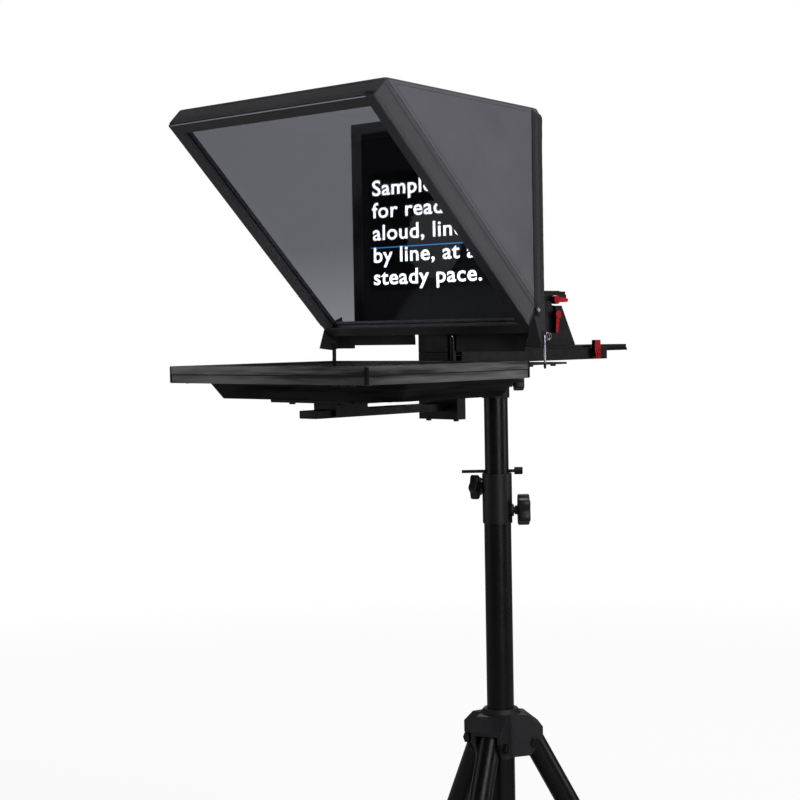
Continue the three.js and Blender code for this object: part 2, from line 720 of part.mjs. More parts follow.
function addMonitor(parent) {
  const centreY = MONITOR_FRONT + MONITOR_DEPTH / 2;
  const screenCentre = MONITOR_FRONT + BEZEL_FRONT + SCREEN_DEPTH / 2;
  const corner = 2.5;
  const outer = roundedOutline(MONITOR_WIDTH, MONITOR_DEPTH, corner, 0, centreY);
  const opening = roundedOutline(SCREEN_WIDTH, SCREEN_DEPTH, 0.5, 0, screenCentre);
  const lipUnder = MONITOR_TOP - 2.5;
  const shell = prism(outer, MONITOR_SEAM + GAP / 2, MONITOR_TOP, UPRIGHT, 4);
  const insideWidth = MONITOR_WIDTH - 2 * COVER_WALL;
  const insideDepth = MONITOR_DEPTH - 2 * COVER_WALL;
  const inside = roundedOutline(insideWidth, insideDepth, 1, 0, centreY);
  const bezel = shaped([shell], [
    prism(opening, -60, 0, UPRIGHT, 2),
    prism(inside, -60, lipUnder, UPRIGHT, 2),
  ]);
  place(parent, 'monitor_bezel', bezel, looks.casing());

  const panel = roundedOutline(SCREEN_WIDTH + 12, SCREEN_DEPTH + 8, 1, 0, screenCentre);
  const display = prism(panel, MONITOR_SEAM - 3, lipUnder - GAP, UPRIGHT, 2);
  place(parent, 'display_panel', display, looks.display());

  const bulgeFront = -266;
  const bulgeBack = -20;
  const bulgeWidth = MONITOR_WIDTH - 2;
  const bulgeDepth = bulgeBack - bulgeFront;
  const bulgeCentre = (bulgeFront + bulgeBack) / 2;
  const slabOutline = roundedOutline(MONITOR_WIDTH - 1, MONITOR_DEPTH - 1, corner, 0, centreY);
  const slab = prism(slabOutline, MONITOR_UNDER, MONITOR_SEAM - GAP / 2, UPRIGHT, 4);
  const bulgeTop = MONITOR_UNDER + 1;
  const bulge = tapered(bulgeWidth, bulgeDepth, 14, bulgeCentre, bulgeTop, BULGE_UNDER, BULGE_TAPER);
  const hollowSlab = prism(inside, MONITOR_UNDER + COVER_WALL, 0, UPRIGHT, 2);
  const hollowTop = MONITOR_UNDER + 2 * COVER_WALL;
  const hollowFloor = BULGE_UNDER + COVER_WALL;
  const hollowBulge = tapered(
    bulgeWidth - 7, bulgeDepth - 7, 11, bulgeCentre, hollowTop, hollowFloor, BULGE_TAPER);
  const buttonHoles = BUTTON_X.map((x) => rod(4.3, [x, BUTTON_Y, -70], [x, BUTTON_Y, -50], 18));
  const cover = shaped([slab, bulge], [hollowSlab, hollowBulge, ...buttonHoles]);
  place(parent, 'monitor_rear_cover', cover, looks.casing());

  const names = ['power_button', 'menu_button', 'source_button'];
  names.forEach((name, i) => {
    const cap = rod(3.9, [0, 0, -5], [0, 0, 1.5], 18);
    const flange = rod(5.6, [0, 0, 0.8], [0, 0, 2], 18);
    const button = place(parent, name, shaped([cap, flange]), looks.plastic());
    button.position.set(BUTTON_X[i], BUTTON_Y, MONITOR_UNDER + COVER_WALL - 0.8 + GAP / 2);
  });

  const boardUnder = BULGE_UNDER + 8;
  const board = block([-70, 70], [-210, -110], [boardUnder, boardUnder + 1.6]);
  const chips = [
    block([-30, -8], [-180, -158], [boardUnder + 1, boardUnder + 4]),
    block([20, 52], [-150, -130], [boardUnder + 1, boardUnder + 8]),
  ];
  const spacerFoot = hollowFloor + GAP;
  const spacers = [[-62, -202], [62, -202], [-62, -118], [62, -118]].map(([x, y]) => (
    rod(3, [x, y, spacerFoot], [x, y, boardUnder + 1], 12)));
  place(parent, 'display_driver_board', shaped([board, ...chips, ...spacers]), looks.board());
}

function addMonitorMount(parent) {
  const top = BULGE_UNDER - GAP;
  const centreY = -182;
  const plateUnder = top - 4.5;
  const plateShape = roundedOutline(180, 120, 6, 0, centreY);
  const plate = prism(plateShape, plateUnder, top, UPRIGHT, 3);
  const screwSquare = 50;          // half of the standard 100 mm hole pattern
  const screws = [[-1, -1], [1, -1], [-1, 1], [1, 1]].map(([sx, sy]) => {
    const [x, y] = [sx * screwSquare, centreY + sy * screwSquare];
    return rod(5, [x, y, top - 7], [x, y, top - 4], 16, 4);
  });
  place(parent, 'monitor_plate', shaped([plate, ...screws]), looks.anodised());

  const slideTop = plateUnder - GAP;
  const inner = ARM_WIDTH / 2 + GAP;
  const outer = ARM_WIDTH / 2 + 6;
  const slideUnder = ARM_UNDER + 2;
  const guide = [
    [-outer, slideTop],
    [-outer, slideUnder],
    [-inner, slideUnder],
    [-inner, ARM_TOP + GAP],
    [inner, ARM_TOP + GAP],
    [inner, slideUnder],
    [outer, slideUnder],
    [outer, slideTop],
  ];
  const slideHalf = 32;
  const body = prism(guide, -centreY - slideHalf, -centreY + slideHalf, ALONG_Y);
  const knobHeight = -109;
  const hole = rod(3.3, [-60, centreY, knobHeight], [0, centreY, knobHeight], 18);
  place(parent, 'arm_slider', shaped([body], [hole]), looks.anodised());

  const stud = rod(3, [0, 0, 0], [12, 0, 0], 16);
  const grip = rod(9, [8, 0, 0], [18, 0, 0], 20, 8);
  const knob = place(parent, 'arm_lock_knob', shaped([stud, grip]), looks.plastic());
  knob.rotation.z = Math.PI;
  knob.position.set(-inner - 0.1, centreY, knobHeight);
}

function addMonitorArm(parent) {
  const bar = block([-ARM_WIDTH / 2, ARM_WIDTH / 2], [ARM_FRONT, ARM_BACK], [ARM_UNDER, ARM_TOP]);
  place(parent, 'monitor_arm_bar', bar, looks.anodised());
}

// ---------------------------------------------------------------- stand

const KNOB_HOLE_RADIUS = 5.4;
const BOSS_REACH = 26;           // collar bosses, out from the stand's axis
const LEFT_KNOB_HEIGHT = 966;
const RIGHT_KNOB_HEIGHT = 929;
const LEFT_KNOB_TURN = 205;      // degrees, direction of the knob from the stand's axis
const RIGHT_KNOB_TURN = 45;
const PIN_RADIUS = 2.6;
const PIN_HEIGHT = COLLAR_TOP + GAP + PIN_RADIUS;
const LOWER_TUBE_TOP = COLLAR_TOP - 6;

function radialRod(radius, from, to, height, turn, segments = 20) {
  return rod(radius, [from, 0, height], [to, 0, height], segments).rotateZ(radians(turn));
}

function addColumn(parent) {
  const lower = shaped(
    [pipe(LOWER_TUBE_RADIUS, LOWER_TUBE_RADIUS - TUBE_WALL, LOWER_TUBE_FOOT, LOWER_TUBE_TOP)],
    [
      radialRod(KNOB_HOLE_RADIUS, 5, 40, LEFT_KNOB_HEIGHT, LEFT_KNOB_TURN),
      radialRod(KNOB_HOLE_RADIUS, 5, 40, RIGHT_KNOB_HEIGHT, RIGHT_KNOB_TURN),
    ]);
  place(parent, 'lower_column_tube', lower, looks.satinSteel());

  const inner = LOWER_TUBE_RADIUS + GAP;
  const lip = UPPER_TUBE_RADIUS + 0.6;
  const sleeve = turned([
    [inner, COLLAR_UNDER],
    [COLLAR_RADIUS, COLLAR_UNDER],
    [COLLAR_RADIUS, COLLAR_TOP - 1],
    [COLLAR_RADIUS - 1, COLLAR_TOP],
    [lip, COLLAR_TOP],
    [lip, LOWER_TUBE_TOP + GAP],
    [inner, LOWER_TUBE_TOP + GAP],
  ]);
  const boss = (height, turn) => radialRod(10, 16, BOSS_REACH, height, turn, 24);
  const borer = (height, turn) => radialRod(KNOB_HOLE_RADIUS, 5, 60, height, turn);
  const core = rod(inner, [0, 0, COLLAR_UNDER - 20], [0, 0, LOWER_TUBE_TOP + GAP], 36);
  const collar = shaped(
    [
      sleeve,
      boss(LEFT_KNOB_HEIGHT, LEFT_KNOB_TURN),
      boss(RIGHT_KNOB_HEIGHT, RIGHT_KNOB_TURN),
    ],
    [
      core,
      borer(LEFT_KNOB_HEIGHT, LEFT_KNOB_TURN),
      borer(RIGHT_KNOB_HEIGHT, RIGHT_KNOB_TURN),
    ]);
  place(parent, 'collar', collar, looks.plastic());

  const top = HEAD_HEIGHT + TUBE_END - GAP;
  const upper = shaped(
    [pipe(UPPER_TUBE_RADIUS, UPPER_TUBE_RADIUS - TUBE_WALL, UPPER_TUBE_FOOT, top)],
    [radialRod(PIN_RADIUS + 0.4, -40, 40, PIN_HEIGHT, RIGHT_KNOB_TURN)]);
  place(parent, 'upper_column_tube', upper, looks.satinSteel());

  const pinRod = rod(PIN_RADIUS, [-56, 0, 0], [34, 0, 0], 18);
  const pinHead = rod(6, [28, 0, 0], [41, 0, 0], 14);
  const pin = place(parent, 'safety_pin', shaped([pinRod, pinHead]), looks.satinSteel());
  pin.rotation.z = radians(RIGHT_KNOB_TURN);
  pin.position.z = PIN_HEIGHT;
}

// A five-lobed hand knob with its stud; the axis is +X and the stud's tip is at x = 0.
function lobedKnob(radius, thickness, neck, studRadius = 4.9) {
  const lobes = 5;
  const steps = 50;
  const points = [];
  for (let i = 0; i < steps; i += 1) {
    const angle = (2 * Math.PI * i) / steps;
    const reach = radius * (0.87 + 0.13 * Math.cos(lobes * angle));
    points.push(new THREE.Vector2(reach * Math.cos(angle), reach * Math.sin(angle)));
  }
  const options = {
    depth: thickness - 5, bevelEnabled: true, bevelThickness: 2.5, bevelSize: 2.5, bevelOffset: -2.5,
    bevelSegments: 2,
  };
  const grip = new THREE.ExtrudeGeometry(new THREE.Shape(points), options);
  grip.applyMatrix4(ALONG_X).translate(neck + 2.5, 0, 0);
  const stud = rod(studRadius, [0, 0, 0], [neck, 0, 0], 20);
  const shoulder = rod(studRadius + 2.4, [8, 0, 0], [neck + 3, 0, 0], 20);
  return shaped([grip, stud, shoulder]);
}

function addKnobs(parent) {
  const tip = UPPER_TUBE_RADIUS + 0.5;
  const left = place(parent, 'column_knob_left', lobedKnob(20.5, 14, 9), looks.plastic());
  left.rotation.z = radians(LEFT_KNOB_TURN);
  left.position.set(0, 0, LEFT_KNOB_HEIGHT);
  left.translateX(tip);
  const right = place(parent, 'column_knob_right', lobedKnob(26, 19, 13), looks.plastic());
  right.rotation.z = radians(RIGHT_KNOB_TURN);
  right.position.set(0, 0, RIGHT_KNOB_HEIGHT);
  right.translateX(tip);
}

const CHEEK_OUTER = 25.5;        // half width of a hub lug
const CHEEK_INNER = LEG_RADIUS + 0.7;
const PIVOT_PIN_RADIUS = 4.5;

function addHub(parent) {
  const sleeveRadius = 32;
  const crownFoot = HUB_TOP - 6;
  const sleeve = rod(sleeveRadius, [0, 0, HUB_UNDER + 8], [0, 0, crownFoot], 30);
  const crown = rod(sleeveRadius, [0, 0, crownFoot], [0, 0, HUB_TOP], 30, 27);
  const lug = [
    [0, HUB_UNDER],
    [44, HUB_UNDER + 3],
    [64, 566],
    [64, 584],
    [40, 603],
    [0, 606],
  ];
  const pocketInner = 29.4;
  const pocketTop = 587;
  const pocket = [
    [pocketInner, HUB_UNDER - 10],
    [90, HUB_UNDER - 10],
    [90, 562],
    [58, 581],
    [44, pocketTop],
    [pocketInner, pocketTop],
  ];
  const lugs = [];
  const cuts = [rod(LOWER_TUBE_RADIUS + GAP, [0, 0, 400], [0, 0, 700], 36)];
  for (const turn of LEG_DIRECTIONS) {
    const angle = radians(turn);
    lugs.push(prism(lug, -CHEEK_OUTER, CHEEK_OUTER, ALONG_Y).rotateZ(angle));
    cuts.push(prism(pocket, -CHEEK_INNER, CHEEK_INNER, ALONG_Y).rotateZ(angle));
    const pinHole = rod(
      PIVOT_PIN_RADIUS + 0.3,
      [LEG_PIVOT_RADIUS, -40, LEG_PIVOT_HEIGHT],
      [LEG_PIVOT_RADIUS, 40, LEG_PIVOT_HEIGHT], 20);
    cuts.push(pinHole.rotateZ(angle));
  }
  place(parent, 'leg_hub', shaped([sleeve, crown, ...lugs], cuts), looks.castAlloy());
}

// One leg in its own frame: the pivot at the origin, the leg along -Z, the column on the -X side.
function legShape(length) {
  const outer = rod(LEG_RADIUS, [0, 0, 12], [0, 0, -length + 8], 28);
  const bore = rod(LEG_RADIUS - TUBE_WALL, [0, 0, 60], [0, 0, -length - 60], 28);
  const tube = shaped([outer], [bore]);
  const pin = rod(PIVOT_PIN_RADIUS, [0, -29, 0], [0, 29, 0], 20);
  const boltRadius = 8.5;
  const boltFrom = CHEEK_OUTER + GAP;
  const boltTo = CHEEK_OUTER + 5.5;
  const heads = [
    rod(boltRadius, [0, boltFrom, 0], [0, boltTo, 0], 6),
    rod(boltRadius, [0, -boltTo, 0], [0, -boltFrom, 0], 6),
  ];
  const lugRoot = -LEG_RADIUS + 4;
  const lugTip = -BRACE_OFFSET - 4;
  const lugInner = 8.6;
  const lugOuter = 12.2;
  const lug = [
    [lugRoot, 16],
    [lugTip, 7],
    [lugTip, -7],
    [lugRoot, -16],
  ];
  const near = prism(lug, lugInner, lugOuter, ALONG_Y).translate(0, 0, -BRACE_LENGTH);
  const far = prism(lug, -lugOuter, -lugInner, ALONG_Y).translate(0, 0, -BRACE_LENGTH);
  const rivets = [12, -12].map((y) => (
    rod(4.2, [-BRACE_OFFSET, y, -BRACE_LENGTH], [-BRACE_OFFSET, y + Math.sign(y) * 3, -BRACE_LENGTH], 14)));
  return shaped([tube, pin, ...heads, near, far, ...rivets]);
}

function footShape(length) {
  const boot = rod(FOOT_RADIUS, [0, 0, -length + 52], [0, 0, -length - 30], 28);
  const socket = rod(LEG_RADIUS + GAP, [0, 0, -length + 8 - GAP], [0, 0, -length + 80], 28);
  // The floor, seen from the leg's frame, cuts the boot off flat.
  const floor = new THREE.BoxGeometry(2000, 400, 200).translate(0, 0, -100);
  floor.translate(-LEG_PIVOT_RADIUS, 0, -LEG_PIVOT_HEIGHT).rotateY(spread);
  return shaped([boot], [socket, floor]);
}

function addLegs(parent) {
  const length = LEG_PIVOT_HEIGHT / Math.cos(spread) - 8;
  LEG_DIRECTIONS.forEach((turn, i) => {
    const spoke = assembly(parent);
    spoke.rotation.z = radians(turn);
    const leg = assembly(spoke, LEG_PIVOT_RADIUS, 0, LEG_PIVOT_HEIGHT);
    leg.rotation.y = -spread;
    place(leg, `leg_${i + 1}`, legShape(length), looks.satinSteel());
    place(leg, `rubber_foot_${i + 1}`, footShape(length), looks.rubber());
  });
}

// Where the brace meets the leg and the spider, in the plane of one leg.
const braceTop = {
  out: LEG_PIVOT_RADIUS + BRACE_LENGTH * Math.sin(spread) - BRACE_OFFSET * Math.cos(spread),
  up: LEG_PIVOT_HEIGHT - BRACE_LENGTH * Math.cos(spread) - BRACE_OFFSET * Math.sin(spread),
};
const braceLean = Math.asin((braceTop.out - SPIDER_PIVOT_RADIUS) / BRACE_LENGTH);
const spiderHeight = braceTop.up - BRACE_LENGTH * Math.cos(braceLean);

function braceShape() {
  const half = 4.4;
  const strip = new THREE.Shape();
  strip.absarc(0, 0, half, Math.PI, 2 * Math.PI, false);
  strip.absarc(0, BRACE_LENGTH, half, 0, Math.PI, false);
  strip.closePath();
  const hole = new THREE.Path();
  hole.absarc(0, 0, 2.4, 0, 2 * Math.PI, true);
  strip.holes.push(hole);
  // Outline is (out, up) and the strip's width is across the leg's plane.
  return prism(strip, -8, 8, ALONG_Y, 5);
}

function addBraces(parent) {
  LEG_DIRECTIONS.forEach((turn, i) => {
    const spoke = assembly(parent);
    spoke.rotation.z = radians(turn);
    const brace = place(spoke, `brace_${i + 1}`, braceShape(), looks.satinSteel());
    brace.position.set(SPIDER_PIVOT_RADIUS, 0, spiderHeight);
    brace.rotation.y = braceLean;
  });
}

function addSpider(parent) {
  const inner = LOWER_TUBE_RADIUS + 0.5;
  const ring = pipe(31, inner, -30, -6);
  const added = [ring];
  for (const turn of LEG_DIRECTIONS) {
    const angle = radians(turn);
    for (const side of [-1, 1]) {
      const near = Math.min(side * 8.5, side * 13);
      added.push(block([21, 34], [near, near + 4.5], [-16, 7]).rotateZ(angle));
    }
    added.push(rod(2.1, [SPIDER_PIVOT_RADIUS, -13, 0], [SPIDER_PIVOT_RADIUS, 13, 0], 14).rotateZ(angle));
  }
  const bore = rod(inner, [0, 0, -50], [0, 0, 50], 36);
  const spider = place(parent, 'brace_spider', shaped(added, [bore]), looks.castAlloy());
  spider.position.z = spiderHeight;
}

// ---------------------------------------------------------------- whole object

const teleprompter = new THREE.Group();
teleprompter.name = 'teleprompter';
const stand = assembly(teleprompter);
const head = assembly(teleprompter, 0, -HEAD_SETBACK, HEAD_HEIGHT);

addGlassFrame(head);
addHoodFlaps(head);
addHoodPanels(head);
addRearCurtain(head);
addRoofBracket(head);
addHoodPull(head);
addHoodStrap(head);
addHoodHinge(head);
addHingeBase(head);
addHangingBlock(head);
addBaseRail(head);
addHeadSocket(head);
addSled(head);
addSledLever(head);
addRiser(head);
addCameraSupport(head);
addQuickRelease(head);
addMonitor(head);
addMonitorMount(head);
addMonitorArm(head);
addColumn(stand);
addKnobs(stand);
addHub(stand);
addLegs(stand);
addBraces(stand);
addSpider(stand);

// Move the object so that the middle of its footprint is the origin.
teleprompter.updateMatrixWorld(true);
const extent = new THREE.Box3().setFromObject(teleprompter, true);
const middle = extent.getCenter(new THREE.Vector3());
stand.position.set(-middle.x, -middle.y, -extent.min.z);
head.position.add(new THREE.Vector3(-middle.x, -middle.y, -extent.min.z));
teleprompter.updateMatrixWorld(true);

export default teleprompter;
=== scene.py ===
"""Looks of the camera teleprompter: materials, fabric hood, fittings, studio and camera.

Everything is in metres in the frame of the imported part. Lengths written with `mm` are
millimetres of the real object.
"""

import json
import math

import bmesh
import bpy
import numpy as np
from mathutils import Matrix, Vector, geometry, noise


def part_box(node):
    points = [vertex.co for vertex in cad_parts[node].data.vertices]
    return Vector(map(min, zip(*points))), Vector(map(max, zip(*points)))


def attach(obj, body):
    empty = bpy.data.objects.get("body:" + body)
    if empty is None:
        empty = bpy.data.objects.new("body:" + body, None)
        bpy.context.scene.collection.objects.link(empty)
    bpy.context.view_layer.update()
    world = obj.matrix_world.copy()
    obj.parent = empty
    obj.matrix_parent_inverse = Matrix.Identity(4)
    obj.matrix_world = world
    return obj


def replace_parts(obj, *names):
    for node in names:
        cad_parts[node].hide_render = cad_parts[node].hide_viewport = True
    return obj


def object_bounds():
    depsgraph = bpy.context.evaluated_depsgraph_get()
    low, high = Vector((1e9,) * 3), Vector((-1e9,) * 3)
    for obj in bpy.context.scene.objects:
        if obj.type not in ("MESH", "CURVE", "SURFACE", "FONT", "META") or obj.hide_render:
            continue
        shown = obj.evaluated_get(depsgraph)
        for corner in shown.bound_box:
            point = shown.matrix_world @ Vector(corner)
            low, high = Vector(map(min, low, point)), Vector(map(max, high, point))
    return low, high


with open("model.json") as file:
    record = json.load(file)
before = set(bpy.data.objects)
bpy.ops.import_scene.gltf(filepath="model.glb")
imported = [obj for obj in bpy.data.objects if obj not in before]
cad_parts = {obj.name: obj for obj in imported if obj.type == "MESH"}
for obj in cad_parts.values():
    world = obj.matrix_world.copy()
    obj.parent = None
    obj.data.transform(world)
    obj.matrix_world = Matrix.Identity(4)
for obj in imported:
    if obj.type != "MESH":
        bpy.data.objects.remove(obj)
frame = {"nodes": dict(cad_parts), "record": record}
cad_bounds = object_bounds()
nodes = frame["nodes"]

mm = 0.001
SLOPE = math.radians(45)
COS45 = math.cos(SLOPE)
SLOPE_UP = (0, -COS45, COS45)    # up along the glass
SLOPE_BACK = (0, COS45, COS45)   # square to the glass, towards the camera
BIAS = (COS45, COS45, 0)         # level, halfway between two upright cloth faces
X_AXIS, Y_AXIS, Z_AXIS = (1, 0, 0), (0, 1, 0), (0, 0, 1)

# ------------------------------------------------------------------ places in the frame

bar_low, bar_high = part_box("frame_bar_bottom")
BAR_DEPTH = 30 * mm
BAR_MARGIN = 1.9 * mm
FRAME_LENGTH = 451 * mm
LIP_WIDTH = 19.9 * mm            # front face of a bar, with the fabric beside it
HEAD = Vector((
    (bar_low.x + bar_high.x) / 2,
    bar_high.y - (BAR_DEPTH - BAR_MARGIN) * COS45,
    bar_low.z - BAR_MARGIN * COS45,
))


def head(x, y, z):
    """A point in mm from the middle of the glass frame's lower front edge."""
    return HEAD + Vector((x, y, z)) * mm


def collection_add(obj):
    bpy.context.scene.collection.objects.link(obj)
    return obj


# ------------------------------------------------------------------ material helpers


class Shader:
    """A node material built around one Principled shader, with object coordinates."""

    def __init__(self, name):
        self.material = bpy.data.materials.new(name)
        self.material.use_nodes = True
        self.tree = self.material.node_tree
        self.bsdf = self.tree.nodes["Principled BSDF"]
        self.output = self.tree.nodes["Material Output"]
        self.place = self.node("ShaderNodeTexCoord").outputs["Object"]

    def node(self, kind, settings=None, **inputs):
        node = self.tree.nodes.new(kind)
        for key, value in (settings or {}).items():
            setattr(node, key, value)
        for key, value in inputs.items():
            self.put(node.inputs[key.replace("_", " ")], value)
        return node

    def put(self, socket, value):
        if isinstance(value, bpy.types.NodeSocket):
            self.tree.links.new(value, socket)
        else:
            socket.default_value = value

    def set(self, **inputs):
        for key, value in inputs.items():
            self.put(self.bsdf.inputs[key.replace("_", " ")], value)

    def math(self, operation, a, b=0.0, clamp=False):
        node = self.node("ShaderNodeMath", {"operation": operation, "use_clamp": clamp})
        self.put(node.inputs[0], a)
        self.put(node.inputs[1], b)
        return node.outputs[0]

    def noise(self, scale, detail=3.0, roughness=0.55, vector=None):
        node = self.node(
            "ShaderNodeTexNoise", Vector=vector or self.place, Scale=scale, Detail=detail,
            Roughness=roughness,
        )
        return node.outputs["Fac"]

    def dot(self, a, b):
        node = self.node("ShaderNodeVectorMath", {"operation": "DOT_PRODUCT"})
        self.put(node.inputs[0], a)
        self.put(node.inputs[1], b)
        return node.outputs["Value"]

    def along(self, direction):
        """The object coordinate along a direction."""
        return self.dot(self.place, direction)

    def remap(self, value, low, high, to_low, to_high):
        node = self.node("ShaderNodeMapRange", Value=value)
        for key, number in zip(("From Min", "From Max", "To Min", "To Max"), (low, high, to_low, to_high)):
            node.inputs[key].default_value = number
        return node.outputs["Result"]

    def blend(self, factor, a, b):
        node = self.node("ShaderNodeMix", {"data_type": "RGBA"})
        self.put(node.inputs["Factor"], factor)
        colours = [s for s in node.inputs if s.type == "RGBA"]
        for socket, value in zip(colours, (a, b)):
            self.put(socket, value)
        return next(s for s in node.outputs if s.type == "RGBA")

    def bump(self, height, distance, strength=1.0, below=None):
        node = self.node("ShaderNodeBump", Height=height, Distance=distance, Strength=strength)
        if below is not None:
            self.put(node.inputs["Normal"], below)
        return node.outputs["Normal"]

    def edges(self, radius):
        """One along outer edges and nought on flat faces."""
        rounded = self.node("ShaderNodeBevel", {"samples": 4}, Radius=radius).outputs["Normal"]
        plain = self.node("ShaderNodeNewGeometry").outputs["Normal"]
        return self.remap(self.dot(rounded, plain), 0.995, 0.85, 0.0, 1.0)


def rgb(red, green, blue):
    return (red, green, blue, 1.0)


def scaled(colour, share):
    return [channel * share for channel in colour[:3]] + [1]


def grey(value):
    """The slightly violet black of the anodised and painted metal."""
    return rgb(value * 1.02, value, value * 1.2)


def painted(name, colour, worn, roughness, metallic, grain, depth, specular):
    """Paint or anodising: slight cloudiness, fine grain, duller and brighter patches, worn edges."""
    s = Shader(name)
    cloud = s.noise(14.0, 4.0)
    fine = s.noise(grain, 2.0)
    base = s.blend(s.remap(cloud, 0.35, 0.7, 0.0, 1.0), scaled(colour, 0.85), colour)
    edge = s.math("MULTIPLY", s.edges(0.7 * mm), s.remap(s.noise(220.0), 0.35, 0.65, 0.25, 1.0))
    s.set(
        Base_Color=s.blend(edge, base, worn),
        Metallic=metallic,
        Roughness=s.remap(s.noise(60.0, 4.0), 0.3, 0.7, roughness - 0.05, roughness + 0.07),
        Specular_IOR_Level=specular,
        Normal=s.bump(fine, depth * mm),
    )
    return s.material


def woven(name, colour, across, along, sheen=0.25, pitch=0.9 * mm):
    """Coarse synthetic cloth: a plain weave, cloudy colour, soft sheen and loose creasing."""
    s = Shader(name)
    wave = 2 * math.pi / pitch
    warp = s.math("SINE", s.math("MULTIPLY", s.along(across), wave))
    weft = s.math("SINE", s.math("MULTIPLY", s.along(along), wave))
    weave = s.math("MULTIPLY", warp, weft)
    cloud = s.remap(s.noise(9.0, 5.0, 0.6), 0.3, 0.7, 0.0, 1.0)
    slub = s.remap(s.noise(420.0, 2.0), 0.3, 0.7, 0.0, 1.0)
    dark = scaled(colour, 0.8)
    base = s.blend(cloud, dark, scaled(colour, 1.1))
    base = s.blend(s.math("MULTIPLY", slub, 0.35), base, dark)
    base = s.blend(s.remap(weave, -1.0, 1.0, 0.25, 0.0), base, scaled(colour, 0.45))
    creased = s.bump(s.noise(38.0, 3.0), 0.35 * mm)
    s.set(
        Base_Color=base,
        Roughness=s.remap(slub, 0.0, 1.0, 0.82, 0.95),
        Specular_IOR_Level=0.25,
        Sheen_Weight=sheen,
        Sheen_Roughness=0.5,
        Normal=s.bump(weave, 0.12 * mm, 0.8, creased),
    )
    return s.material


GLASS_REFLECTION = 0.5           # share of the light that the coating reflects to the talent
LOWER_GAIN = 1.75                # painted reflection: how much more it reflects along its lower edge


def coated_glass():
    """Beam splitter: the front face reflects part of the light, the rest passes through."""
    s = Shader("coated_glass")
    surface = s.node("ShaderNodeNewGeometry")
    facing = s.dot(surface.outputs["True Normal"], (0, -COS45, -COS45))
    outward = s.math("GREATER_THAN", facing, 0.7)
    front = s.math("MULTIPLY", outward, s.math("SUBTRACT", 1.0, surface.outputs["Backfacing"]))
    low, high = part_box("beam_splitter_glass")
    level = low.z + (high.z - low.z) * 0.4
    # painted reflection: a larger share reflected towards the lower edge
    share = s.remap(s.along(Z_AXIS), low.z, level, GLASS_REFLECTION * LOWER_GAIN, GLASS_REFLECTION)
    smears = s.remap(s.noise(16.0, 4.0), 0.3, 0.8, 0.0, 0.035)
    glossy = s.node("ShaderNodeBsdfGlossy", Color=rgb(0.89, 0.91, 1), Roughness=smears)
    clear = s.node("ShaderNodeBsdfTransparent", Color=rgb(0.86, 0.88, 0.9))
    mix = s.node("ShaderNodeMixShader")
    s.put(mix.inputs[0], s.math("MULTIPLY", front, share))
    s.put(mix.inputs[1], clear.outputs[0])
    s.put(mix.inputs[2], glossy.outputs[0])
    s.put(s.output.inputs["Surface"], mix.outputs[0])
    s.tree.nodes.remove(s.bsdf)
    return s.material


def frame_paint():
    """Anodised frame bars, with painted shade: near black on the walls that face the glass, and darker
    along the lower bar, under the monitor.
    """
    s = Shader("frame_black")
    low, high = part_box("frame_bar_bottom")
    half = (high.x - low.x) / 2
    across = s.math("SUBTRACT", half, s.math("ABSOLUTE", s.math("SUBTRACT", s.along(X_AXIS), HEAD.x)))
    up = s.math("SUBTRACT", s.along(SLOPE_UP), HEAD.dot(Vector(SLOPE_UP)))
    inward = s.math("MINIMUM", across, s.math("MINIMUM", up, s.math("SUBTRACT", FRAME_LENGTH, up)))
    # painted shade: near black on the walls that face the glass, inside the hood
    shaded = s.remap(inward, LIP_WIDTH - 0.6 * mm, LIP_WIDTH - 0.1 * mm, 0.0, 1.0)
    # painted shade: darker towards the lower bar, in the monitor's shade
    lower = s.remap(up, 0.0, 40 * mm, 0.35, 1.0)
    colour = s.blend(lower, rgb(0.008, 0.008, 0.01), rgb(0.05, 0.049, 0.058))
    edge = s.math("MULTIPLY", s.edges(0.8 * mm), s.remap(s.noise(160.0), 0.35, 0.65, 0.5, 1.0))
    s.set(
        Base_Color=s.blend(shaded, s.blend(edge, colour, grey(0.13)), grey(0.003)),
        Metallic=0.2,
        Roughness=s.remap(s.noise(60.0, 4.0), 0.3, 0.7, 0.4, 0.52),
        Specular_IOR_Level=0.35,
        Normal=s.bump(s.noise(1600.0, 2.0), 0.012 * mm),
    )
    return s.material


def casing_paint(name, dark, light):
    """Glossy moulded plastic with level bands of painted highlight, and painted shade with a rougher, less
    specular finish on the bulge underneath.
    """
    s = Shader(name)
    level = s.node("ShaderNodeVectorMath", {"operation": "MULTIPLY"})
    s.put(level.inputs[0], s.place)
    level.inputs[1].default_value = (0.07, 0.07, 1)
    # painted highlight: level bands of lighter colour and stronger specular
    streak_highlights = s.remap(s.noise(90.0, 2.5, 0.55, level.outputs["Vector"]), 0.36, 0.62, 0.0, 1.0)
    colour = s.blend(streak_highlights, dark, light)
    # painted shade on the bulge under the slab: darker colour, and a rougher, less specular finish
    slab_under = head(0, 0, -62.8).z
    dull_and_shaded = s.remap(s.along(Z_AXIS), slab_under, slab_under - 0.4 * mm, 0.0, 1.0)
    edge = s.math("MULTIPLY", s.edges(0.8 * mm), s.remap(s.noise(160.0), 0.35, 0.65, 0.4, 1.0))
    gloss = s.remap(s.noise(7.0, 3.0), 0.3, 0.7, 0.16, 0.3)
    s.set(
        Base_Color=s.blend(dull_and_shaded, s.blend(edge, colour, grey(0.04)), grey(0.0025)),
        Roughness=s.math("ADD", gloss, s.math("MULTIPLY", dull_and_shaded, 0.3)),
        Specular_IOR_Level=s.math(
            "MULTIPLY", s.remap(dull_and_shaded, 0.0, 1.0, 1.0, 0.3), s.remap(streak_highlights, 0.0, 1.0, 0.1, 0.5)),
        Normal=s.bump(s.noise(1300.0, 2.0), 0.015 * mm),
    )
    return s.material


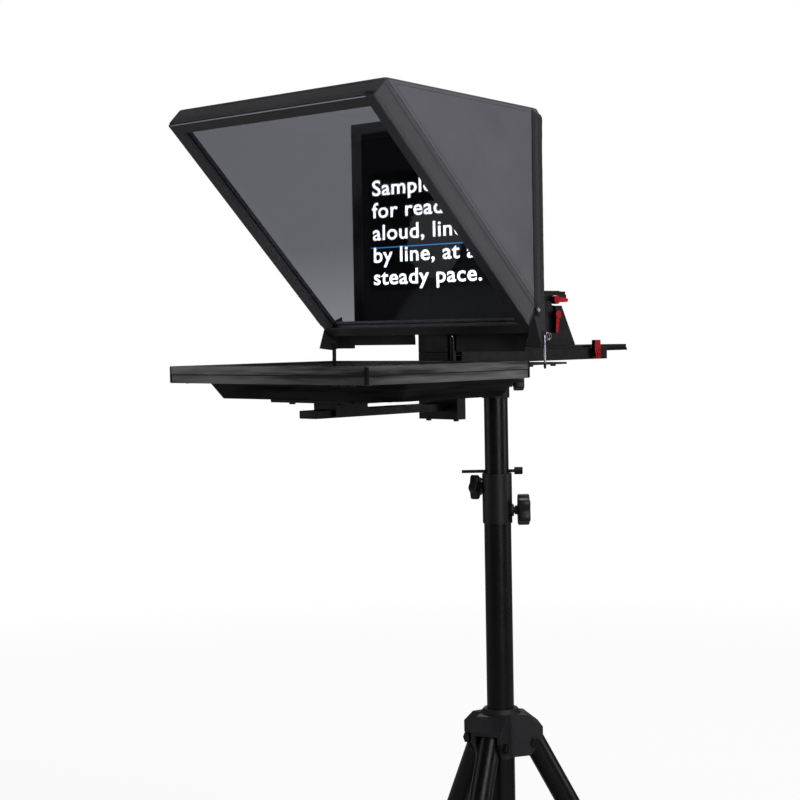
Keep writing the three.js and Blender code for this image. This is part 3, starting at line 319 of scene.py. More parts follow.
def display_glass(name, glow):
    """The face of the display: black glass with the faint glow of the backlight."""
    s = Shader(name)
    cloud = s.remap(s.noise(6.0, 3.0), 0.3, 0.7, 0.85, 1.1)
    s.set(
        Base_Color=grey(0.002),
        Roughness=s.remap(s.noise(60.0, 3.0), 0.3, 0.7, 0.1, 0.16),
        Specular_IOR_Level=0.1,
        Emission_Color=rgb(0.93, 0.91, 1.1),
        Emission_Strength=s.math("MULTIPLY", cloud, glow),
    )
    return s.material


def circuit_board():
    s = Shader("circuit_board")
    cells = s.node("ShaderNodeTexVoronoi", {"feature": "DISTANCE_TO_EDGE"}, Vector=s.place, Scale=260.0)
    track = s.math("LESS_THAN", cells.outputs["Distance"], 0.06)
    s.set(
        Base_Color=s.blend(track, rgb(0.01, 0.07, 0.025), rgb(0.05, 0.2, 0.08)),
        Roughness=s.remap(s.noise(80.0), 0.3, 0.7, 0.35, 0.5),
        Normal=s.bump(track, 0.05 * mm),
    )
    return s.material


def glowing(name, colour, strength):
    """Lit pixels of the display: dim at a grazing angle, and unlit to a camera level with them."""
    s = Shader(name)
    flicker = s.remap(s.noise(30.0), 0.0, 1.0, 0.97, 1.03)
    incoming = s.node("ShaderNodeNewGeometry").outputs["Incoming"]
    slant = s.math("ABSOLUTE", s.dot(incoming, Z_AXIS))
    angle = s.math("POWER", slant, 1.5)
    mirrored = s.math("SUBTRACT", 1.0, s.node("ShaderNodeLightPath").outputs["Is Camera Ray"])
    direct = s.math("MAXIMUM", mirrored, s.remap(slant, 0.15, 0.4, 0.0, 1.0))
    s.set(
        Base_Color=rgb(0.002, 0.002, 0.002),
        Roughness=0.4,
        Specular_IOR_Level=0.0,
        Emission_Color=colour,
        Emission_Strength=s.math(
            "MULTIPLY", s.math("MULTIPLY", flicker, strength), s.math("MULTIPLY", angle, direct)),
    )
    return s.material


PAINTS = {
    # colour, worn edges, roughness, metallic, grain, depth in mm, specular
    "anodised_black": (grey(0.0045), grey(0.03), 0.42, 0.1, 1600.0, 0.012, 0.16),
    "satin_black_steel": (grey(0.0035), grey(0.02), 0.3, 0.0, 700.0, 0.03, 0.25),
    "cast_black": (grey(0.006), grey(0.03), 0.42, 0.0, 500.0, 0.08, 0.25),
    # the hub's paint: cast black made lighter, painted light for its lit roof
    "hub_black_lit": (grey(0.014), grey(0.04), 0.42, 0.0, 500.0, 0.08, 0.4),
    "black_plastic": (grey(0.005), grey(0.02), 0.42, 0.0, 1000.0, 0.05, 0.35),
    "red_anodised": (rgb(0.19, 0.004, 0.008), rgb(0.6, 0.04, 0.05), 0.18, 1.0, 1600.0, 0.01, 0.5),
    "bright_steel": (grey(0.5), grey(0.7), 0.28, 1.0, 2200.0, 0.01, 0.5),
    # pale paint for the bead on the frame: a painted highlight
    "highlight_trim": (grey(0.6), grey(0.8), 0.35, 0.3, 2200.0, 0.01, 0.5),
    "foot_rubber": (grey(0.005), grey(0.02), 0.82, 0.0, 800.0, 0.08, 0.2),
}
SIDE_CLOTH = rgb(0.15, 0.147, 0.172)
FLAP_CLOTH = rgb(0.042, 0.041, 0.048)
CLOTHS = {
    # colour, directions of warp and weft, then sheen and pitch where they differ
    "side_cloth": (SIDE_CLOTH, Y_AXIS, Z_AXIS),
    "roof_cloth": (SIDE_CLOTH, X_AXIS, Y_AXIS),
    "band_cloth": (rgb(0.085, 0.083, 0.097), SLOPE_UP, SLOPE_BACK),
    "flap_cloth": (FLAP_CLOTH, X_AXIS, SLOPE_BACK, 0.08),
    "curtain_cloth": (FLAP_CLOTH, BIAS, Z_AXIS, 0.08),
    "lining_cloth": (rgb(0.03, 0.03, 0.034), BIAS, Z_AXIS),
    "roof_lining": (rgb(0.09, 0.09, 0.1), X_AXIS, Y_AXIS),
    # near black cloth used as painted shade
    "shade_black_cloth": (rgb(0.004, 0.004, 0.005), Y_AXIS, Z_AXIS, 0.0),
    "thread": (rgb(0.02, 0.02, 0.022), X_AXIS, Z_AXIS, 0.25, 0.4 * mm),
    "webbing": (rgb(0.014, 0.014, 0.016), X_AXIS, Z_AXIS, 0.25, 1.4 * mm),
}

materials = {name: painted(name, *settings) for name, settings in PAINTS.items()}
materials.update((name, woven(name, *settings)) for name, settings in CLOTHS.items())
materials |= {
    "frame_black": frame_paint(),
    "casing_plastic": casing_paint("casing_plastic", grey(0.003), grey(0.02)),
    "bezel_plastic": casing_paint("bezel_plastic", grey(0.006), grey(0.06)),
    "display_surface": display_glass("display_surface", 0.004),
    "text_window": display_glass("text_window", 0.0),
    "coated_glass": coated_glass(),
    "circuit_board": circuit_board(),
    "letters": glowing("letters", rgb(1, 1, 1), 4.4),
    "guide_line": glowing("guide_line", rgb(0.03, 0.3, 0.7), 2.4),
}

SLOT_MATERIAL = {part["node"]: part["material_slot"] for part in frame["record"]["subparts"]}
FABRIC_NODES = {
    "hood_side_right", "hood_side_left", "hood_top", "hood_flap_right", "hood_flap_left",
    "hood_flap_top", "hood_rear_curtain", "hood_strap",
}

# ------------------------------------------------------------------ carried-over CAD nodes

# the hub gets a lighter black: painted light on its roof
SPECIAL_FINISH = {"monitor_bezel": "bezel_plastic", "leg_hub": "hub_black_lit"}
SPECIAL_FINISH |= {f"frame_bar_{side}": "frame_black" for side in ("bottom", "right", "top", "left")}
EDGE_ROUNDING = {                # width in mm
    "anodised_black": 0.5, "satin_black_steel": 0.5, "cast_black": 1.0, "casing_plastic": 1.0,
    "black_plastic": 0.8, "display_surface": 0.3, "red_anodised": 0.6, "bright_steel": 0.15,
    "foot_rubber": 1.2, "coated_glass": 0.2, "circuit_board": 0.1,
}


def smoothing_nodes(angle):
    """A modifier that shades a welded mesh smooth, except across edges sharper than the angle."""
    group = bpy.data.node_groups.new("smooth_by_angle", "GeometryNodeTree")
    group.interface.new_socket("Geometry", in_out="INPUT", socket_type="NodeSocketGeometry")
    group.interface.new_socket("Geometry", in_out="OUTPUT", socket_type="NodeSocketGeometry")
    start = group.nodes.new("NodeGroupInput")
    end = group.nodes.new("NodeGroupOutput")
    faces = group.nodes.new("GeometryNodeSetShadeSmooth")
    edges = group.nodes.new("GeometryNodeSetShadeSmooth")
    edges.domain = "EDGE"
    edge_angle = group.nodes.new("GeometryNodeInputMeshEdgeAngle")
    gentle = group.nodes.new("ShaderNodeMath")
    gentle.operation = "LESS_THAN"
    gentle.inputs[1].default_value = angle
    group.links.new(start.outputs[0], faces.inputs["Geometry"])
    group.links.new(faces.outputs[0], edges.inputs["Geometry"])
    group.links.new(edge_angle.outputs["Unsigned Angle"], gentle.inputs[0])
    group.links.new(gentle.outputs[0], edges.inputs["Shade Smooth"])
    group.links.new(edges.outputs[0], end.inputs[0])
    return group


SHARP_ANGLE = math.radians(32)
smooth_by_angle = smoothing_nodes(SHARP_ANGLE)


def round_edges(obj, width):
    smooth = obj.modifiers.new("smooth_faces", "NODES")
    smooth.node_group = smooth_by_angle
    bevel = obj.modifiers.new("rounded_edges", "BEVEL")
    bevel.width = width * mm
    bevel.segments = 2
    bevel.limit_method = "ANGLE"
    bevel.angle_limit = SHARP_ANGLE
    bevel.harden_normals = True


def finish_node(name, obj):
    slot = SLOT_MATERIAL[name]
    obj.data.materials.clear()
    obj.data.materials.append(materials[SPECIAL_FINISH.get(name, slot)])
    obj.data.attributes.remove(obj.data.attributes["custom_normal"])
    weld = obj.modifiers.new("weld", "WELD")
    weld.merge_threshold = 0.005 * mm
    flat = obj.modifiers.new("flat_faces", "DECIMATE")
    flat.decimate_type = "DISSOLVE"
    flat.angle_limit = math.radians(0.6)
    round_edges(obj, EDGE_ROUNDING[slot])


for node_name, node_object in nodes.items():
    if node_name not in FABRIC_NODES:
        finish_node(node_name, node_object)


# ------------------------------------------------------------------ sheets of cloth


def boundary_distance(points, loops):
    """Distance of each 2-D point to the nearest edge of the loops, and whether it is inside."""
    points = np.asarray(points, float)
    nearest = np.full(len(points), np.inf)
    inside = np.zeros(len(points), bool)
    for loop in loops:
        ends = np.roll(loop, -1, axis=0)
        for a, b in zip(loop, ends):
            run = b - a
            t = np.clip(((points - a) @ run) / max(run @ run, 1e-18), 0, 1)
            nearest = np.minimum(nearest, np.linalg.norm(points - a - t[:, None] * run, axis=1))
            crosses = (a[1] > points[:, 1]) != (b[1] > points[:, 1])
            rise = run[1] if abs(run[1]) > 1e-12 else 1e-12
            x = a[0] + (points[:, 1] - a[1]) * run[0] / rise
            inside ^= crosses & (points[:, 0] < x)
    return nearest, inside


def rectangle(low_u, high_u, low_v, high_v):
    return [(low_u, low_v), (high_u, low_v), (high_u, high_v), (low_u, high_v)]


def resampled(loop, spacing):
    """Points at about one spacing round a loop."""
    points = []
    ends = np.roll(loop, -1, axis=0)
    for a, b in zip(loop, ends):
        steps = max(1, round(float(np.linalg.norm(b - a)) / spacing))
        points += [a + (b - a) * i / steps for i in range(steps)]
    return np.array(points)


def inset_ring(loop, offset, spacing):
    """Points at one distance inside a loop, sampled along its edges."""
    area = 0.5 * sum(a[0] * b[1] - a[1] * b[0] for a, b in zip(loop, np.roll(loop, -1, axis=0)))
    side = 1 if area > 0 else -1
    points = []
    for a, b in zip(loop, np.roll(loop, -1, axis=0)):
        run = b - a
        length = float(np.linalg.norm(run))
        if length < 1e-9:
            continue
        inward = np.array([-run[1], run[0]]) / length * side
        steps = max(1, round(length / spacing))
        points += [a + run * i / steps + inward * offset for i in range(steps + 1)]
    return points


def cloth_pattern(outline, holes=(), spacing=5 * mm, rings=(), creases=()):
    """A flat triangulated piece: (points, triangles, distance from the edge).

    `rings` are distances from the edge at which the mesh gets a line of points, so that
    hems, bindings and stitched grooves have real geometry. `creases` are extra lines.
    """
    outline = np.array(outline, float)
    loops = [outline] + [np.array(hole, float) for hole in holes]
    fixed, links = [], []
    for loop in loops:
        ring = resampled(loop, spacing)
        first = len(fixed)
        fixed += list(ring)
        links += [(first + i, first + (i + 1) % len(ring)) for i in range(len(ring))]
    loose = []
    for offset in rings:
        for index, loop in enumerate(loops):
            ring = inset_ring(loop, offset if index == 0 else -offset, spacing)
            near, inside = boundary_distance(ring, loops)
            loose += [p for p, d, i in zip(ring, near, inside) if i and d > offset * 0.985]
    for a, b in creases:
        a, b = np.array(a, float), np.array(b, float)
        steps = max(1, round(float(np.linalg.norm(b - a)) / spacing))
        line = [a + (b - a) * i / steps for i in range(1, steps)]
        near, inside = boundary_distance(line, loops)
        loose += [p for p, d, i in zip(line, near, inside) if i and d > 0.4 * mm]
    low, high = outline.min(0), outline.max(0)
    row_gap = spacing * math.sqrt(3) / 2
    grid = []
    for j in range(int((high[1] - low[1]) / row_gap) + 2):
        shift = spacing / 2 if j % 2 else 0
        for i in range(int((high[0] - low[0]) / spacing) + 2):
            grid.append((low[0] + shift + i * spacing, low[1] + j * row_gap))
    near, inside = boundary_distance(grid, loops)
    margin = (max(rings) if rings else 0) + spacing * 0.55
    grid = [np.array(p) for p, d, i in zip(grid, near, inside) if i and d > margin]
    if creases and grid:
        keep = np.ones(len(grid), bool)
        for a, b in creases:
            near, _ = boundary_distance(grid, [np.array([a, b], float)])
            keep &= near > spacing * 0.55
        grid = [p for p, k in zip(grid, keep) if k]
    every = [Vector(p) for p in fixed + loose + grid]
    points, _, faces, *_ = geometry.delaunay_2d_cdt(every, links, [], 0, 1e-6)
    points = np.array([tuple(p) for p in points])
    _, kept = boundary_distance([points[list(f)].mean(0) for f in faces], loops)
    near, _ = boundary_distance(points, loops)
    return points, [tuple(f) for f, keep in zip(faces, kept) if keep], near


def smoothstep(t):
    t = np.clip(t, 0, 1)
    return t * t * (3 - 2 * t)


def mesh_object(name, vertices, faces, slots, indices=None, smooth=True):
    mesh = bpy.data.meshes.new(name)
    mesh.from_pydata([tuple(v) for v in vertices], [], faces)
    for slot in slots:
        mesh.materials.append(materials[slot])
    if indices is not None:
        mesh.polygons.foreach_set("material_index", indices)
    mesh.polygons.foreach_set("use_smooth", [smooth] * len(mesh.polygons))
    mesh.update()
    return collection_add(bpy.data.objects.new(name, mesh))


def sheet(name, pattern, place, thickness, slots, height=None, sag=0.0):
    """A closed sheet of cloth: the flat pattern lifted by height(points, distance) and placed.

    `place` turns (u, v) and a lift along the outer normal into a point of the frame.
    """
    points, faces, distance = pattern
    lift = np.zeros(len(points)) if height is None else height(points, distance)
    lift = lift + settle(name, points, faces, distance, sag)
    outer = [place(u, v, h) for (u, v), h in zip(points, lift)]
    inner = [place(u, v, h - thickness) for (u, v), h in zip(points, lift)]
    count = len(points)
    flip = is_flipped(outer, faces, place, points)
    top = [tuple(reversed(f)) if flip else f for f in faces]
    under = [tuple(i + count for i in reversed(f)) for f in top]
    seen = {}
    for face in top:
        seen.update(((a, b), face) for a, b in zip(face, face[1:] + face[:1]))
    rim = [(b, a, a + count, b + count) for a, b in seen if (b, a) not in seen]
    indices = [0] * len(top) + [1] * len(under) + [0] * len(rim)
    return mesh_object(name, outer + inner, top + under + rim, slots, indices)


def dress(piece, body="hood"):
    """Let a cloth piece ride on a body."""
    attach(piece, body)


def cover(node, name, pattern, place, slots, lift, sag=0.0):
    """Put a sewn sheet of cloth in the place of a plain CAD solid of the hood."""
    piece = sheet(name, pattern, place, CLOTH, slots, lift, sag)
    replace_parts(piece, node)
    dress(piece)
    return piece


def is_flipped(outer, faces, place, points):
    """Whether the pattern's faces point inward once placed."""
    a, b, c = (Vector(outer[i]) for i in faces[0])
    u, v = points[faces[0][0]]
    outward = Vector(place(u, v, 1 * mm)) - Vector(place(u, v, 0))
    return (b - a).cross(c - a).dot(outward) < 0


SIMULATED_FRAMES = 20
HELD_HEM = 9 * mm


def settle(name, points, faces, distance, sag):
    """How far slack cloth held at its hem moves square to its plane, found by simulation."""
    if not sag:
        return np.zeros(len(points))
    mesh = bpy.data.meshes.new(name + "_pattern")
    mesh.from_pydata([(u, v, 0.0) for u, v in points], [], faces)
    obj = collection_add(bpy.data.objects.new(name + "_pattern", mesh))
    held = obj.vertex_groups.new(name="held")
    for index, d in enumerate(distance):
        held.add([index], float(1 - smoothstep((d - HELD_HEM) / (4 * mm))), "REPLACE")
    cloth = obj.modifiers.new("cloth", "CLOTH")
    cloth.settings.vertex_group_mass = "held"
    cloth.settings.quality = 6
    cloth.settings.mass = 0.35
    cloth.settings.tension_stiffness = 25
    cloth.settings.compression_stiffness = 25
    cloth.settings.bending_stiffness = 6
    cloth.settings.use_pressure = True
    cloth.settings.uniform_pressure_force = -1.2
    cloth.settings.shrink_min = -0.012
    cloth.settings.effector_weights.gravity = 0.35
    for span in (bpy.context.scene, cloth.point_cache):
        span.frame_start = 1
        span.frame_end = SIMULATED_FRAMES
    for number in range(1, SIMULATED_FRAMES + 1):
        bpy.context.scene.frame_set(number)
    graph = bpy.context.evaluated_depsgraph_get()
    result = obj.evaluated_get(graph).to_mesh()
    moved = np.array([v.co.z for v in result.vertices])
    obj.evaluated_get(graph).to_mesh_clear()
    bpy.data.objects.remove(obj)
    bpy.data.meshes.remove(mesh)
    bpy.context.scene.frame_set(1)
    largest = max(float(np.abs(moved).max()), 1e-9)
    return moved * min(1.0, sag / largest) * smoothstep(distance / (14 * mm))


def waves(points, size, seed):
    """Slow bumps of a hand-made panel, from about -1 to 1."""
    return np.array([noise.noise(Vector((u / size, v / size, seed))) for u, v in points])


# ------------------------------------------------------------------ small solid fittings


class Fitting:
    """Closed pieces collected into one mesh that rides on one body."""

    def __init__(self, name, body, *slots):
        self.name, self.body, self.slots = name, body, slots
        self.vertices, self.faces, self.indices = [], [], []

    def add(self, shape, slot=0):
        vertices, faces = shape
        first = len(self.vertices)
        self.vertices += vertices
        self.faces += [tuple(i + first for i in face) for face in faces]
        self.indices += [slot] * len(faces)

    def build(self, rounding=0.0):
        obj = mesh_object(self.name, self.vertices, self.faces, self.slots, self.indices)
        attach(obj, self.body)
        if rounding:
            round_edges(obj, rounding)
        return obj


def ring_of(middle, axis, radius, count, sides=0):
    """Points round an axis; with sides, the ring is a polygon of that inner radius."""
    side = axis.orthogonal().normalized()
    other = axis.cross(side)
    points = []
    for k in range(count):
        angle = 2 * math.pi * k / count
        reach = radius
        if sides:
            step = 2 * math.pi / sides
            reach = radius / math.cos(angle % step - step / 2)
        points.append(middle + (side * math.cos(angle) + other * math.sin(angle)) * reach)
    return points


def skinned(rings):
    """Vertices and faces of a closed body from rings; a ring of one point closes an end."""
    vertices, faces, starts = [], [], []
    for ring in rings:
        starts.append((len(vertices), len(ring)))
        vertices += ring
    for (a, count_a), (b, count_b) in zip(starts, starts[1:]):
        count = max(count_a, count_b)
        for k in range(count):
            n = (k + 1) % count
            corners = (a + k % count_a, a + n % count_a, b + n % count_b, b + k % count_b)
            faces.append(tuple(dict.fromkeys(corners)))
    return vertices, faces


def turned(start, direction, profile, count=24):
    """A solid turned about a line: profile is (radius, way along, sides of the ring)."""
    axis = Vector(direction).normalized()
    rings = []
    for radius, way, *sides in profile:
        middle = start + axis * way * mm
        rings.append([middle] if radius == 0 else ring_of(middle, axis, radius * mm, count, *sides))
    return skinned(rings)


def cap_screw(start, direction, radius, height):
    """The head of a socket screw standing on a face, with its hexagonal socket."""
    socket = radius * 0.52
    depth = height * 0.35
    return turned(start, direction, [
        (0, -0.5), (radius * 0.6, -0.5), (radius * 0.6, 0), (radius, 0), (radius, height * 0.85),
        (radius * 0.92, height), (socket, height, 6), (socket, depth, 6), (0, depth),
    ])


def wire_ring(centre, normal, radius, wire, count=36):
    """A closed ring of round wire."""
    normal = Vector(normal).normalized()
    around = 10
    vertices, faces = [], []
    for i, spot in enumerate(ring_of(centre, normal, radius * mm, count)):
        out = (spot - centre).normalized()
        for k in range(around):
            angle = 2 * math.pi * k / around
            vertices.append(spot + (out * math.cos(angle) + normal * math.sin(angle)) * wire * mm)
        row, following = i * around, (i + 1) % count * around
        for k in range(around):
            n = (k + 1) % around
            faces.append((row + k, following + k, following + n, row + n))
    return vertices, faces


def box_shape(low, high):
    """A bar between two opposite corners."""
    xs, ys, zs = zip(low, high)
    vertices = [Vector((x, y, z)) for z in zs for x, y in
                ((xs[0], ys[0]), (xs[1], ys[0]), (xs[1], ys[1]), (xs[0], ys[1]))]
    faces = [(3, 2, 1, 0), (4, 5, 6, 7)]
    faces += [(k, (k + 1) % 4, (k + 1) % 4 + 4, k + 4) for k in range(4)]
    return vertices, faces


def ribbon(outer, inner, low, high, closed):
    """A strip between two plan lines and two heights."""
    rows = [[Vector((x, y, z)) for x, y in line]
            for line, z in ((outer, low), (outer, high), (inner, high), (inner, low))]
    count = len(outer)
    vertices = [point for row in rows for point in row]
    faces = []
    for i in range(count if closed else count - 1):
        n = (i + 1) % count
        for a, b in ((0, 1), (1, 2), (2, 3), (3, 0)):
            faces.append((a * count + i, a * count + n, b * count + n, b * count + i))
    if not closed:
        faces.append(tuple(row * count for row in range(4)))
        faces.append(tuple(row * count + count - 1 for row in reversed(range(4))))
    return vertices, faces


# ------------------------------------------------------------------ hood fabric

CLOTH = 1.6 * mm
HEM_ROLL = 2.2 * mm
STITCH_INSET = 5 * mm
HEM_RINGS = [d * mm for d in (1.1, 2.2, 4.0, 5.0, 6.0)]


def hull_2d(points):
    """Corners of the convex hull of 2-D points, anticlockwise, without points along an edge."""
    ordered = sorted(set((round(float(u), 6), round(float(v), 6)) for u, v in points))

    def chain(sequence):
        corners = []
        for p in sequence:
            while len(corners) > 1:
                (ax, ay), (bx, by) = corners[-2], corners[-1]
                if (bx - ax) * (p[1] - ay) - (by - ay) * (p[0] - ax) > 1e-9:
                    break
                corners.pop()
            corners.append(p)
        return corners[:-1]

    return [np.array(p) for p in chain(ordered) + chain(reversed(ordered))]


def face_outline(node, normal, across, along):
    """Outline of a CAD node's flat outer face: (u, v) points, and the plane's place."""
    normal, across, along = Vector(normal), Vector(across), Vector(along)
    spots = [v.co for v in nodes[node].data.vertices]
    level = max(p.dot(normal) for p in spots)
    outline = hull_2d(
        (p.dot(across), p.dot(along)) for p in spots if level - p.dot(normal) < 0.1 * mm)

    def place(u, v, lift):
        return across * u + along * v + normal * (level + lift)

    return outline, place


def hemmed(points, distance):
    """Rolled edge and a sunk line of stitching."""
    roll = -0.9 * mm * np.clip(1 - distance / HEM_ROLL, 0, 1) ** 2
    groove = -0.4 * mm * np.exp(-((distance - STITCH_INSET) / (0.9 * mm)) ** 2)
    return roll + groove


def line_distance(points, line):
    return boundary_distance(points, [np.array(line, float)])[0]


def beside(line, gap):
    """The line and a copy on each side of it."""
    a, b = np.array(line[0], float), np.array(line[1], float)
    run = (b - a) / np.linalg.norm(b - a)
    normal = np.array([-run[1], run[0]]) * gap
    return [(a, b), (a + normal, b + normal), (a - normal, b - normal)]


def stitch_row(points_2d, place, lift, pitch=4.4 * mm, length=3.3 * mm, radius=0.32 * mm):
    """Vertices and faces of separate thread stitches along a 2-D line."""
    vertices, faces = [], []
    points_2d = [np.array(p, float) for p in points_2d]
    for a, b in zip(points_2d, points_2d[1:]):
        run = float(np.linalg.norm(b - a))
        for i in range(int(run / pitch)):
            start = a + (b - a) * (i * pitch + (pitch - length) / 2) / run
            end = start + (b - a) * length / run
            p, q = place(*start, lift), place(*end, lift)
            out = (place(*start, lift + 1 * mm) - p).normalized()
            along_row = (q - p).normalized()
            side = along_row.cross(out)
            first = len(vertices)
            for share, swell in ((0.0, 0.35), (0.22, 1.0), (0.78, 1.0), (1.0, 0.35)):
                middle = p.lerp(q, share) + out * (radius * (0.6 if 0 < share < 1 else -0.4))
                for k in range(6):
                    angle = k * math.pi / 3
                    off = side * math.cos(angle) + out * math.sin(angle)
                    vertices.append(middle + off * radius * swell)
            for ring in range(3):
                for k in range(6):
                    m = first + ring * 6
                    faces.append((m + k, m + (k + 1) % 6, m + 6 + (k + 1) % 6, m + 6 + k))
            faces.append(tuple(first + k for k in reversed(range(6))))
            faces.append(tuple(first + 18 + k for k in range(6)))
    return vertices, faces


def stitching(name, rows, body):
    """One object of thread stitches; rows are (2-D line, place, lift)."""
    thread = Fitting(name, body, "thread")
    for line, place, lift in rows:
        thread.add(stitch_row(line, place, lift))
    thread.build()


def inset_line(outline, inset):
    """A closed line at one distance inside a convex outline."""
    outline = [np.array(p) for p in outline]
    centre = sum(outline) / len(outline)
    lines = []
    for a, b in zip(outline, outline[1:] + outline[:1]):
        run = (b - a) / np.linalg.norm(b - a)
        normal = np.array([-run[1], run[0]])
        if (centre - a) @ normal < 0:
            normal = -normal
        lines.append((a + normal * inset, run))
    corners = []
    for (p, r), (q, s) in zip(lines[-1:] + lines[:-1], lines):
        t = ((q[0] - p[0]) * s[1] - (q[1] - p[1]) * s[0]) / (r[0] * s[1] - r[1] * s[0])
        corners.append(p + r * t)
    return corners + corners[:1]


def add_side_panels():
    for side, sign in (("right", 1), ("left", -1)):
        node = f"hood_side_{side}"
        outline, place = face_outline(node, (sign, 0, 0), Y_AXIS, Z_AXIS)

        def lift(points, distance):
            slack = smoothstep((distance - 6 * mm) / (30 * mm))
            return hemmed(points, distance) + 0.7 * mm * slack * waves(points, 70 * mm, 3.1 + sign)

        pattern = cloth_pattern(outline, spacing=6 * mm, rings=HEM_RINGS)
        cover(node, node + "_panel", pattern, place, ["side_cloth", "lining_cloth"], lift, 2 * mm)
        stitching(node + "_stitching", [(inset_line(outline, STITCH_INSET), place, -0.3 * mm)], "hood")


STRIP_WIDTH = 8.5 * mm


def add_side_bands():
    """The narrow bands over the sides of the glass frame, each with a sewn strip at its back."""
    back, up = np.array([COS45, COS45]), np.array([-COS45, COS45])
    for side, sign in (("right", 1), ("left", -1)):
        node = f"hood_flap_{side}"
        outline, place = face_outline(node, (sign, 0, 0), Y_AXIS, Z_AXIS)
        depths = [float(p @ back) for p in outline]
        heights = [float(p @ up) for p in outline]
        low_corner = min(outline, key=lambda p: p[1])
        seam_level = max(depths) - STRIP_WIDTH
        seam = (back * seam_level + up * (min(heights) - 5 * mm),
                back * seam_level + up * (max(heights) + 5 * mm))
        fold = (low_corner + up * 12 * mm, low_corner + up * 30 * mm + back * 20 * mm)

        def lift(points, distance):
            groove = -1.5 * mm * np.exp(-(line_distance(points, seam) / (1.0 * mm)) ** 2)
            soft = 0.5 * mm * smoothstep(distance / (12 * mm)) * waves(points, 45 * mm, 7.7 + sign)
            crease = 0.8 * mm * np.exp(-(line_distance(points, fold) / (2.5 * mm)) ** 2)
            return hemmed(points, distance) + groove + soft + crease

        lines = beside(seam, 1.2 * mm)
        pattern = cloth_pattern(outline, spacing=5 * mm, rings=HEM_RINGS[:3], creases=lines)
        cover(node, node + "_band", pattern, place, ["band_cloth", "lining_cloth"], lift)
        rows = []
        for level in (seam_level - 3.2 * mm, min(depths) + 4.5 * mm):
            foot, top = min(heights) + 6 * mm, max(heights) - 4 * mm
            rows.append(([back * level + up * foot, back * level + up * top], place, 0.0))
        stitching(node + "_stitching", rows, "hood")


def add_top_flap():
    """The band over the top of the glass frame, with a folded tab at one end."""
    node = "hood_flap_top"
    outline, place = face_outline(node, SLOPE_UP, X_AXIS, SLOPE_BACK)

    def lift(points, distance):
        soft = 0.6 * mm * smoothstep(distance / (10 * mm)) * waves(points, 60 * mm, 12.3)
        return hemmed(points, distance) + soft

    pattern = cloth_pattern(outline, spacing=5 * mm, rings=HEM_RINGS)
    cover(node, node + "_band", pattern, place, ["flap_cloth", "lining_cloth"], lift)
    stitching(node + "_stitching", [(inset_line(outline, STITCH_INSET), place, -0.3 * mm)], "hood")

    right = max(p[0] for p in outline)
    low = min(p[1] for p in outline)
    tab_outline = rectangle(right - 17 * mm, right - 1 * mm, low + 4 * mm, low + 31 * mm)
    tab_pattern = cloth_pattern(tab_outline, spacing=4 * mm, rings=HEM_RINGS[:3])

    def tab_place(u, v, h):
        return place(u, v, h + 1.9 * mm)

    tab = sheet("hood_corner_tab", tab_pattern, tab_place, CLOTH, ["flap_cloth", "lining_cloth"], hemmed)
    dress(tab)


def add_hood_top():
    """The roof: one sheet that folds down over the top of the rear curtain."""
    node = "hood_top"
    spots = [v.co for v in nodes[node].data.vertices]
    right = max(p.x for p in spots)
    left = min(p.x for p in spots)
    ring = [Vector(p) for p in hull_2d((p.y, p.z) for p in spots if right - p.x < 0.1 * mm)]
    front = min(ring, key=lambda p: p.x)
    front = max((p for p in ring if p.x - front.x < 2.2 * mm), key=lambda p: p.y)
    ridge = max((p for p in ring if p.x > front.x + 50 * mm), key=lambda p: p.y)
    rear = max((p for p in ring if p.x > ridge.x + 2 * mm), key=lambda p: p.y)
    chain = [front, ridge, rear]
    first = (ridge - front).length
    total = first + (rear - ridge).length

    def place(u, v, h):
        a, b, start = (chain[0], chain[1], 0.0) if v <= first else (chain[1], chain[2], first)
        run = (b - a).normalized()
        normal = Vector((-run.y, run.x))
        spot = a + run * (v - start) + normal * h
        return Vector((u, spot.x, spot.y))

    outline = rectangle(left, right, 0, total)

    def lift(points, distance):
        slack = smoothstep((distance - 6 * mm) / (40 * mm))
        return hemmed(points, distance) + 0.8 * mm * slack * waves(points, 80 * mm, 21.0)

    lines = beside(((left, first), (right, first)), 1.5 * mm)
    pattern = cloth_pattern(outline, spacing=7 * mm, rings=HEM_RINGS, creases=lines)
    cover(node, node + "_panel", pattern, place, ["roof_cloth", "roof_lining"], lift, 1.5 * mm)
    inset = STITCH_INSET
    corners = rectangle(left + inset, right - inset, inset, first - 8 * mm)
    row = corners[3:] + corners
    stitching(node + "_stitching", [(row, place, -0.3 * mm)], "hood")


LENS_RADIUS = 62 * mm
LENS_HEIGHT = 148 * mm
FOLD_RADIUS = 2.5 * mm           # where the curtain turns round the hood's rear corners


def lens_gathers(angle):
    """The uneven gathers round the lens opening, from -1 to 1."""
    return np.cos(34 * angle + 2.0 * np.sin(5 * angle))


